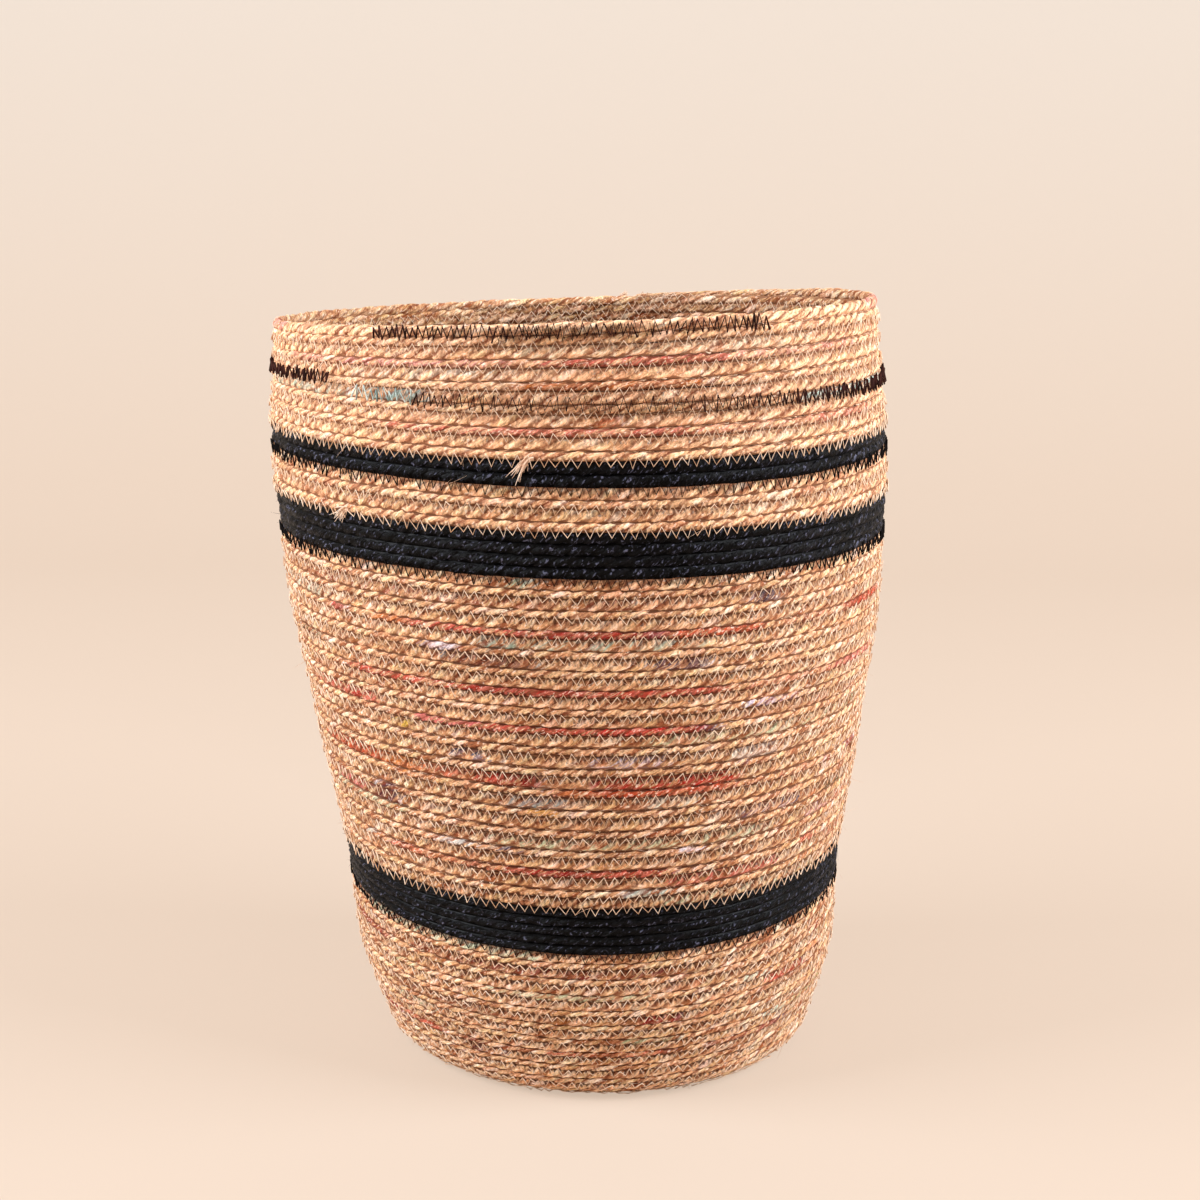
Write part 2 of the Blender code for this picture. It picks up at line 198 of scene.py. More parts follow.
def seam_shading(turn):
    """How strongly shade is painted into the seams at a turn: most at the front and least at the sides."""
    return np.interp(from_front(turn), SEAM_SHADE_PLACES, SEAM_SHADE_SHARES)


def painted_light_at(turn):
    """How much painted light lightens the cord at a turn, standing in for the stronger light up the wall:
    most towards the rim.
    """
    places = [middle_start, wide_black_start, upper_start, upper_start + 2]
    return np.interp(turn, places, PAINTED_LIGHT_SHARES)


MATH = "ShaderNodeMath"
VECTOR_MATH = "ShaderNodeVectorMath"
NOISE = "ShaderNodeTexNoise"
EASE = "ShaderNodeMapRange"
MIX = "ShaderNodeMix"
STORE = "GeometryNodeStoreNamedAttribute"
READ = "GeometryNodeInputNamedAttribute"


def put(tree, value, socket):
    """A value set on a socket, or another socket, or a node's first live output, linked to it."""
    if isinstance(value, bpy.types.Node):
        value = next(output for output in value.outputs if output.enabled)
    if isinstance(value, bpy.types.NodeSocket):
        tree.links.new(value, socket)
    else:
        socket.default_value = value


def add(tree, kind, inputs=(), operation=None, **settings):
    """A node in a tree, with its operation and settings, and its inputs put in by place or by name."""
    node = tree.nodes.new(kind)
    if operation:
        node.operation = operation
    for name, value in settings.items():
        setattr(node, name, value)
    for key, value in inputs.items() if isinstance(inputs, dict) else enumerate(inputs):
        put(tree, value, node.inputs[key])
    return node


def linear(colour, alpha=1.0):
    """An sRGB hex colour as linear values."""
    parts = [int(colour[k : k + 2], 16) / 255 for k in (0, 2, 4)]
    return (*(((c + 0.055) / 1.055) ** 2.4 if c > 0.04045 else c / 12.92 for c in parts), alpha)


LAY = 0.0245
STRANDS = 3
STEP = LAY / 7
CORD_FILL = 1.05
PRESSED = 0.17
UNDERSIDE = 0.0002
END_TAPER = 0.14
END_SHARE = 0.3
NO_SEAM = -3
RIM_CORE = 0.8
CORE_WIDTH = 2.04
CORE_DEPTH = 1.2
STRAND_WIDTH = 0.72
ROUNDING = 0.1
# How far the twist drifts, the strands swell and their surface is lumpy, and how often in a metre:
# about every 31 mm, 18 mm and 2.4 mm.
TWIST_DRIFT = 4.5
SWELLING = 0.35
LUMPINESS = 0.22
DRIFTS_PER_METRE = 32
SWELLS_PER_METRE = 55
LUMPS_PER_METRE = 420
STRANDS_APART = 9


def cord_line(turn):
    """The middle line of a length of cord: where it runs, which way is out and up, its half width,
    how open the seams below and above it are, how strongly shade is painted into them, and how much
    painted light it takes towards the rim."""
    angle = angle_of(turn)
    low, high = groove(turn), groove(turn + 1)
    thinned = np.interp(turn, [cord_end - END_TAPER, cord_end], [1, END_SHARE])
    girth = (high - low) / 2 * thinned
    length = low + girth
    centre = place(length, angle, girth)
    outward = place(length, angle, 0) - centre
    upward = place(length + girth, angle, girth) - place(length - girth, angle, girth)
    outward /= np.linalg.norm(outward, axis=1, keepdims=True)
    upward /= np.linalg.norm(upward, axis=1, keepdims=True)
    on_rim = turn > cord_end - 1
    above = np.where(on_rim, NO_SEAM, openness(turn + 1))
    core = girth * np.where(on_rim, RIM_CORE, 1)
    seams = np.stack([openness(turn), above, seam_shading(turn)], axis=-1)
    shapes = {"outward": outward, "upward": upward, "girth": girth, "core": core}
    return centre, shapes | {"seams": seams, "painted_light": painted_light_at(turn)}


def line_object(name, chains, attributes):
    """Chains of edges whose points carry attributes, for a tree of geometry nodes to work on."""
    chains = chains if chains.ndim == 3 else chains[None]
    count, steps = chains.shape[:2]
    edges = [(c * steps + k, c * steps + k + 1) for c in range(count) for k in range(steps - 1)]
    mesh = bpy.data.meshes.new(name)
    mesh.from_pydata(chains.reshape(-1, 3).tolist(), edges, [])
    kinds = {1: ("FLOAT", "value"), 3: ("FLOAT_VECTOR", "vector"), 4: ("FLOAT_COLOR", "color")}
    for key, values in attributes.items():
        kind, field = kinds[1 if values.ndim == 1 else values.shape[1]]
        data = mesh.attributes.new(key, kind, "POINT").data
        data.foreach_set(field, values.astype(np.float32).ravel())
    made = bpy.data.objects.new(name, mesh)
    bpy.context.scene.collection.objects.link(made)
    return made


def new_tree(name, sockets):
    """An empty tree of geometry nodes with its inputs and one output."""
    tree = bpy.data.node_groups.new(name, "GeometryNodeTree")
    tree.interface.new_socket("Geometry", in_out="INPUT", socket_type="NodeSocketGeometry")
    for label, kind in sockets.items():
        tree.interface.new_socket(label, in_out="INPUT", socket_type=f"NodeSocket{kind}")
    tree.interface.new_socket("Geometry", in_out="OUTPUT", socket_type="NodeSocketGeometry")
    return tree, tree.nodes.new("NodeGroupInput").outputs


def grow(source, tree, values):
    """Put the plain mesh that a tree makes of an object in place of the object's own."""
    modifier = source.modifiers.new("growth", "NODES")
    modifier.node_group = tree
    for item in tree.interface.items_tree:
        if item.in_out == "INPUT" and item.name in values:
            modifier[item.identifier] = values[item.name]
    seen = source.evaluated_get(bpy.context.evaluated_depsgraph_get())
    mesh = bpy.data.meshes.new_from_object(seen)
    source.modifiers.remove(modifier)
    line = source.data
    source.data = mesh
    bpy.data.meshes.remove(line)
    mesh.name = source.name


def above_floor(tree, mesh, level=0):
    """The mesh with what would dip below the floor, or below a level above it, pressed flat."""
    x, y, z = add(tree, "ShaderNodeSeparateXYZ", [add(tree, "GeometryNodeInputPosition")]).outputs
    raised = add(tree, "ShaderNodeCombineXYZ", (x, y, add(tree, MATH, (z, level), "MAXIMUM")))
    return add(tree, "GeometryNodeSetPosition", {"Geometry": mesh, "Position": raised})


def finished(tree, mesh, finish):
    """The end of a tree: the mesh made real, with its material."""
    mesh = add(tree, "GeometryNodeRealizeInstances", {"Geometry": mesh})
    mesh = add(tree, "GeometryNodeSetMaterial", {"Geometry": mesh, "Material": finish})
    add(tree, "NodeGroupOutput", {"Geometry": mesh})
    return tree


def cord_tree():
    """Three strands twisted together, each a rounded ridge that meets the next in a deep crease.
    The twist is now tighter, now looser, and the strands swell and thin as hand-spun ones do. A flat
    core closes the middle, and rows that are pressed together widen towards each other."""
    sockets = {"Step": "Float", "Lay": "Float", "Fill": "Float", "Strands": "Int", "Finish": "Material"}
    sockets |= {"Drift": "Float", "Swelling": "Float", "Roughness": "Float", "Pressed": "Float"}
    tree, given = new_tree("twisted_cord", sockets)
    line = add(tree, "GeometryNodeMeshToCurve", {"Mesh": given["Geometry"]})
    resampled = {"Curve": line, "Length": given["Step"]}
    curve = add(tree, "GeometryNodeResampleCurve", resampled, mode="LENGTH")
    centre = {"Geometry": curve, "Name": "centre", "Value": add(tree, "GeometryNodeInputPosition")}
    curve = add(tree, STORE, centre, data_type="FLOAT_VECTOR")
    strands = {"Geometry": curve, "Amount": given["Strands"]}
    curve, strand = add(tree, "GeometryNodeDuplicateElements", strands, domain="SPLINE").outputs

    along = add(tree, "GeometryNodeSplineParameter").outputs["Length"]
    drift = {"Vector": add(tree, "ShaderNodeCombineXYZ", [along]), "Scale": DRIFTS_PER_METRE, "Detail": 1}
    drift = add(tree, MATH, (add(tree, NOISE, drift), 0.5), "SUBTRACT")
    drift = add(tree, MATH, (drift, given["Drift"]), "MULTIPLY")
    phase = add(tree, MATH, (strand, math.tau), "MULTIPLY")
    phase = add(tree, MATH, (phase, given["Strands"]), "DIVIDE")
    twist = add(tree, MATH, (along, math.tau), "MULTIPLY")
    twist = add(tree, MATH, (twist, given["Lay"]), "DIVIDE")
    twist = add(tree, MATH, (add(tree, MATH, (twist, drift), "ADD"), phase), "ADD")
    out = add(tree, READ, {"Name": "outward"}, data_type="FLOAT_VECTOR")
    up = add(tree, READ, {"Name": "upward"}, data_type="FLOAT_VECTOR")
    lean = add(tree, VECTOR_MATH, (out, add(tree, MATH, [twist], "COSINE")), "MULTIPLY")
    lean = add(tree, VECTOR_MATH, (up, add(tree, MATH, [twist], "SINE"), lean), "MULTIPLY_ADD")

    fibre = add(tree, "ShaderNodeCombineXYZ", (along, 0, strand))
    fibre = {"Geometry": curve, "Name": "fibre", "Value": fibre}
    curve = add(tree, STORE, fibre, data_type="FLOAT_VECTOR")
    swells = add(tree, MATH, (along, SWELLS_PER_METRE), "MULTIPLY")
    apart = add(tree, MATH, (strand, STRANDS_APART), "MULTIPLY")
    swells = add(tree, NOISE, {"Vector": add(tree, "ShaderNodeCombineXYZ", (swells, apart)), "Scale": 1})
    swells = add(tree, MATH, (swells, 0.5), "SUBTRACT")
    swells = add(tree, MATH, (swells, given["Swelling"], 1), "MULTIPLY_ADD")
    curve = add(tree, STORE, {"Geometry": curve, "Name": "swollen", "Value": swells})
    curve = add(tree, "GeometryNodeSetCurveNormal", {"Curve": curve, "Normal": lean}, mode="FREE")

    arc = {"Resolution": 6, "Radius": 1, "Start Angle": math.radians(-88), "Sweep Angle": math.radians(176)}
    half = add(tree, "GeometryNodeCurveArc", {**arc, "Connect Center": True}, mode="RADIUS")
    spot = add(tree, "GeometryNodeInputPosition")
    ridge, across, _ = add(tree, "ShaderNodeSeparateXYZ", [spot]).outputs
    rounded = add(tree, MATH, (add(tree, VECTOR_MATH, [spot], "LENGTH"), ROUNDING), "MULTIPLY")
    ridge = add(tree, MATH, (ridge, 1 - ROUNDING, rounded), "MULTIPLY_ADD")
    half = add(tree, STORE, {"Geometry": half, "Name": "across", "Value": across})
    shaped = add(tree, "ShaderNodeCombineXYZ", (ridge, add(tree, MATH, (across, STRAND_WIDTH), "MULTIPLY")))
    half = add(tree, "GeometryNodeSetPosition", {"Geometry": half, "Position": shaped})
    girth = add(tree, READ, {"Name": "girth"})
    width = add(tree, MATH, (girth, given["Fill"]), "MULTIPLY")
    width = add(tree, MATH, (width, add(tree, READ, {"Name": "swollen"})), "MULTIPLY")
    swept = {"Curve": curve, "Profile Curve": half, "Scale": width, "Fill Caps": True}
    mesh = add(tree, "GeometryNodeCurveToMesh", swept)

    spot = add(tree, "GeometryNodeInputPosition")
    centre = add(tree, READ, {"Name": "centre"}, data_type="FLOAT_VECTOR")
    away = add(tree, VECTOR_MATH, (spot, centre), "SUBTRACT")
    away = add(tree, VECTOR_MATH, (away, girth), "DIVIDE")
    side_out = add(tree, VECTOR_MATH, (away, out), "DOT_PRODUCT")
    side_up = add(tree, VECTOR_MATH, (away, up), "DOT_PRODUCT")
    lie = (side_out, side_up, add(tree, VECTOR_MATH, [away], "LENGTH"))
    lie = {"Geometry": mesh, "Name": "lie", "Value": add(tree, "ShaderNodeCombineXYZ", lie)}
    mesh = add(tree, STORE, lie, data_type="FLOAT_VECTOR")
    lumps = add(tree, NOISE, {"Vector": spot, "Scale": LUMPS_PER_METRE})
    lumps = add(tree, MATH, (lumps, 0.5), "SUBTRACT")
    lumps = add(tree, MATH, (lumps, given["Roughness"]), "MULTIPLY")
    lumps = add(tree, MATH, (lumps, girth), "MULTIPLY")
    pressed = add(tree, MATH, (side_up, girth), "MULTIPLY")
    pressed = add(tree, MATH, (pressed, given["Pressed"]), "MULTIPLY")
    moved = add(tree, VECTOR_MATH, (away, lumps), "MULTIPLY")
    moved = add(tree, VECTOR_MATH, (up, pressed, moved), "MULTIPLY_ADD")
    mesh = add(tree, "GeometryNodeSetPosition", {"Geometry": mesh, "Offset": moved})

    # The core carries none of the strands' lie, so the cord's finish paints it dark with the crease and seam
    # shade; it shows as the dark floor of the grooves.
    far = {"Curve": line, "Length": add(tree, MATH, (given["Step"], 4), "MULTIPLY")}
    core = add(tree, "GeometryNodeResampleCurve", far, mode="LENGTH")
    core = add(tree, "GeometryNodeSetCurveNormal", {"Curve": core, "Normal": up}, mode="FREE")
    flat = {"Width": CORE_WIDTH, "Height": CORE_DEPTH}
    flat = add(tree, "GeometryNodeCurvePrimitiveQuadrilateral", flat, mode="RECTANGLE")
    size = add(tree, READ, {"Name": "core"})
    swept = {"Curve": core, "Profile Curve": flat, "Scale": size, "Fill Caps": True}
    both = add(tree, "GeometryNodeJoinGeometry", [add(tree, "GeometryNodeCurveToMesh", swept)])
    put(tree, mesh, both.inputs[0])
    return finished(tree, above_floor(tree, both, UNDERSIDE), given["Finish"])


def new_material(name):
    made = bpy.data.materials.new(name)
    made.use_nodes = True
    return made, made.node_tree, made.node_tree.nodes["Principled BSDF"]


# How often the fibre's patterns change in a metre of strand: patches of tone about every 33 mm, strips
# of leaf 8 mm, streaks 7 mm, single fibres 2 mm (drawn coarser than they are, so that they show),
# faded bits of dyed yarn 17 mm, patches of painted crease shade 62 mm, patches of painted seam shade
# 71 mm and slow drifts 330 mm. The contrasts are where a pattern begins and ends to show, and what it
# makes of the surface there.
PATCHES = 30
LEAVES = 125
STREAKS = 150
SPECKS = 520
FADED_BITS = 60
CREASE_SHADE_PATCHES = 16
SEAM_SHADE_PATCHES = 14
SLOW_DRIFTS = 3
PATTERN_ROUGHNESS = 0.6
NEXT_STRAND = 7.3
TONE_START = 0.30
TONE_WAY = 0.40
LEAF_CONTRAST = 0.7
TINT = 0.45
DRIFT_CONTRAST = (0.35, 0.65, 0.9, 1.08)
STREAK_CONTRAST = (0.36, 0.64, 0.76, 1.18)
SPECK_CONTRAST = (0.38, 0.62, 0.74, 1.22)
FADED_CONTRAST = (0.42, 0.62, 0, 0.35)
# Painted light and shade: patches of crease shade and of seam shade, fibre highlights, and the paler,
# brighter outer side towards the rim.
CREASE_SHADE_CONTRAST = (0.4, 0.6, 0.45, 0.95)
SEAM_SHADE_CONTRAST = (0.42, 0.58, 0, 0.7)
PAINTED_GLINT_STRENGTH = 0.8
PAINTED_LIGHT_TONE = "FFD3B1"
PAINTED_LIGHT_MIX = 0.35
PAINTED_LIGHT_GAIN = (0.18, 0.13, 0.07)
FADED_DYE = "F2AE92"
MINGLING = 2.6
# Where the painted crease shade and the painted seam shade show, along the seam lines and in the holes
# between the stitch legs.
CREASE_SHADE_REACH = (1.0, 0.84)
CREASE_SHADE_RAGGEDNESS = 0.4
LEG_PITCH = 0.0027
SEAM_EDGE = 0.60
SEAM_WIDTH = 0.32
HOLE_DEPTH = 0.18
SEAM_SOFTNESS = 0.30
SEAM_RAGGEDNESS = 2.5
OPEN_SEAM_SHADE = 0.85
SEAM_SHADE_UNDER_PAINTED_LIGHT = -0.4
DYED_SEAM = 0.35
FIBRE_RELIEF = 0.0009


def fibre_cord(name, tones, painted_glints, painted_glint_range, crease, line, hole_shade, roughness, sheen, takes_painted_light):
    """Hand-spun plant fibre: matt, mottled along the strand and streaked with single fibres, with bits of
    dyed yarn spun in. Painted light makes its outer side paler and brighter towards the rim and puts
    highlights on single fibres; painted shade darkens it where the strands meet, and most in the open
    seams, in the holes between the legs of the stitches."""
    made, tree, shader = new_material(name)
    kept = {key: add(tree, "ShaderNodeAttribute", attribute_name=key).outputs for key in (
        "fibre", "lie", "seams", "across", "painted_light", "dye")}
    along, _, strand = add(tree, "ShaderNodeSeparateXYZ", [kept["fibre"]["Vector"]]).outputs
    radial, side, reach = add(tree, "ShaderNodeSeparateXYZ", [kept["lie"]["Vector"]]).outputs
    below, above, seam_shade_share = add(tree, "ShaderNodeSeparateXYZ", [kept["seams"]["Vector"]]).outputs
    across, painted_light = kept["across"]["Fac"], kept["painted_light"]["Fac"]
    dye, dye_share = kept["dye"]["Color"], kept["dye"]["Alpha"]
    strand = add(tree, MATH, (strand, NEXT_STRAND), "MULTIPLY")

    def pattern(per_metre, over_strand, detail=2):
        """A pattern that changes so often in a metre of strand, and so much over the strand's width."""
        spot = [add(tree, MATH, (along, per_metre), "MULTIPLY")]
        spot += [add(tree, MATH, (across, over_strand), "MULTIPLY"), strand]
        shape = {"Vector": add(tree, "ShaderNodeCombineXYZ", spot), "Scale": 1}
        return add(tree, NOISE, shape | {"Detail": detail, "Roughness": PATTERN_ROUGHNESS})

    patches = pattern(PATCHES, 0, 3)
    leaves = pattern(LEAVES, 0.7)
    streaks = pattern(STREAKS, 2.6, 3)
    specks = pattern(SPECKS, 1.7)
    shade = add(tree, MATH, (leaves, 0.5), "SUBTRACT")
    shade = add(tree, MATH, (shade, LEAF_CONTRAST, patches), "MULTIPLY_ADD")
    ramp = add(tree, "ShaderNodeValToRGB", [shade])
    for k, tone in enumerate(tones):
        stop = TONE_START + TONE_WAY * k / (len(tones) - 1)
        element = ramp.color_ramp.elements[k] if k < 2 else ramp.color_ramp.elements.new(stop)
        element.position = stop
        element.color = linear(tone)
    tint = add(tree, VECTOR_MATH, (patches.outputs["Color"], (0.5, 0.5, 0.5)), "SUBTRACT")
    tint = add(tree, VECTOR_MATH, (tint, (TINT, TINT, TINT), (1, 1, 1)), "MULTIPLY_ADD")
    colour = add(tree, VECTOR_MATH, (ramp, tint), "MULTIPLY")
    drift = {"Vector": add(tree, "ShaderNodeCombineXYZ", [along]), "Scale": SLOW_DRIFTS}
    drift = add(tree, EASE, (add(tree, NOISE, drift), *DRIFT_CONTRAST))
    colour = add(tree, VECTOR_MATH, (colour, drift), "MULTIPLY")

    # Painted light: the outer side of the natural cord is made paler and brighter towards the rim, standing
    # in for the stronger light on the upper wall.
    painted_lit = add(tree, MATH, (painted_light, add(tree, EASE, (radial, -0.2, 0.2, 0, takes_painted_light))), "MULTIPLY")
    paler = add(tree, MATH, (painted_lit, PAINTED_LIGHT_MIX), "MULTIPLY")
    colour = add(tree, MIX, {0: paler, 6: colour, 7: linear(PAINTED_LIGHT_TONE)}, data_type="RGBA")
    brighter = add(tree, VECTOR_MATH, (PAINTED_LIGHT_GAIN, painted_lit, (1, 1, 1)), "MULTIPLY_ADD")
    colour = add(tree, VECTOR_MATH, (colour, brighter), "MULTIPLY")

    mingled = add(tree, MATH, (add(tree, MATH, (leaves, streaks), "ADD"), 1), "SUBTRACT")
    dyed = add(tree, EASE, (add(tree, MATH, (mingled, MINGLING, dye_share), "MULTIPLY_ADD"), 0.3, 0.7))
    dyed = add(tree, MATH, (dyed, add(tree, EASE, (dye_share, 0, 0.2))), "MULTIPLY")
    faded = add(tree, EASE, (pattern(FADED_BITS, 0.9), *FADED_CONTRAST))
    yarn = add(tree, MIX, {0: faded, 6: dye, 7: linear(FADED_DYE)}, data_type="RGBA")
    colour = add(tree, MIX, {0: dyed, 6: colour, 7: yarn}, data_type="RGBA")
    for fibres, contrast in ((streaks, STREAK_CONTRAST), (specks, SPECK_CONTRAST)):
        colour = add(tree, VECTOR_MATH, (colour, add(tree, EASE, (fibres, *contrast))), "MULTIPLY")
    # Painted highlights: pale specks mixed into the colour, as if single fibres caught the light.
    painted_glinting = add(tree, EASE, (specks, *painted_glint_range, 0, PAINTED_GLINT_STRENGTH))
    colour = add(tree, MIX, {0: painted_glinting, 6: colour, 7: linear(painted_glints)}, data_type="RGBA")

    # Painted shade where the strands meet: the crease colour mixed in towards the crease, raggedly and in
    # patches.
    ragged = add(tree, MATH, (specks, 0.5), "SUBTRACT")
    meet = add(tree, MATH, (ragged, CREASE_SHADE_RAGGEDNESS, reach), "MULTIPLY_ADD")
    deep = add(tree, EASE, (pattern(CREASE_SHADE_PATCHES, 0), *CREASE_SHADE_CONTRAST))
    crease_shaded = add(tree, MATH, (add(tree, EASE, (meet, *CREASE_SHADE_REACH)), deep), "MULTIPLY")
    colour = add(tree, MIX, {0: crease_shaded, 6: colour, 7: linear(crease)}, data_type="RGBA")
    # Painted shade in the seams: a dark line along the pulled seams and dark holes between the stitch legs
    # in the open ones, tinted by dyed yarn, in patches, and weaker at the sides and towards the rim.
    higher = add(tree, MATH, (side, 0), "GREATER_THAN")
    seam = add(tree, MIX, {0: higher, 2: below, 3: above})
    legs = add(tree, MATH, (along, math.tau / LEG_PITCH), "MULTIPLY")
    legs = add(tree, MATH, (leaves, 5, legs), "MULTIPLY_ADD")
    width = add(tree, MATH, (add(tree, MATH, [legs], "SINE"), HOLE_DEPTH, SEAM_WIDTH), "MULTIPLY_ADD")
    edge = add(tree, MATH, (seam, width, SEAM_EDGE), "MULTIPLY_ADD")
    sunk = add(tree, MATH, (edge, add(tree, MATH, [radial], "ABSOLUTE")), "SUBTRACT")
    sunk = add(tree, MATH, (sunk, SEAM_SOFTNESS), "DIVIDE")
    sunk = add(tree, EASE, (add(tree, MATH, (ragged, SEAM_RAGGEDNESS, sunk), "MULTIPLY_ADD"), 0, 1))
    seam_shade_strength = add(tree, EASE, (pattern(SEAM_SHADE_PATCHES, 0), *SEAM_SHADE_CONTRAST))
    seam_shade_strength = add(tree, MATH, (seam_shade_strength, add(tree, MATH, (seam, OPEN_SEAM_SHADE), "MULTIPLY")), "MAXIMUM")
    seam_shade_strength = add(tree, MATH, (seam_shade_strength, add(tree, MATH, (painted_light, SEAM_SHADE_UNDER_PAINTED_LIGHT, 1), "MULTIPLY_ADD")), "MULTIPLY")
    sunk = add(tree, MATH, (add(tree, MATH, (sunk, seam_shade_strength), "MULTIPLY"), seam_shade_share), "MULTIPLY")
    dyed_line = add(tree, VECTOR_MATH, (dye, (DYED_SEAM, DYED_SEAM, DYED_SEAM)), "MULTIPLY")
    painted_seam_shade = add(tree, MIX, {0: dye_share, 6: linear(line), 7: dyed_line}, data_type="RGBA")
    painted_seam_shade = {0: add(tree, EASE, (seam, 0, 1)), 6: painted_seam_shade, 7: linear(hole_shade)}
    painted_seam_shade = add(tree, MIX, painted_seam_shade, data_type="RGBA")
    colour = add(tree, MIX, {0: sunk, 6: colour, 7: painted_seam_shade}, data_type="RGBA")
    relief = {"Strength": 1, "Distance": FIBRE_RELIEF, "Height": add(tree, MATH, (streaks, specks), "ADD")}
    put(tree, colour, shader.inputs["Base Color"])
    put(tree, add(tree, "ShaderNodeBump", relief), shader.inputs["Normal"])
    put(tree, roughness, shader.inputs["Roughness"])
    put(tree, sheen, shader.inputs["Specular IOR Level"])
    return made


twisting = cord_tree()
NATURAL_TONES = ["AC6138", "E1A678", "F8CC9E", "FFE9CF"]
# The crease, line and hole colours are painted shade: where the strands meet, along the pulled seams and in
# the open seams.
natural_look = {"crease": "7C3C22", "line": "7C422E", "hole_shade": "421E10", "roughness": 0.85, "sheen": 0.2}
# The glint colour is a painted highlight; the cord also takes the painted light towards the rim.
natural_look |= {"painted_glints": "FFF0DE", "painted_glint_range": (0.58, 0.70), "takes_painted_light": 1}
natural_cord = fibre_cord("spun_plant_fibre", NATURAL_TONES, **natural_look)

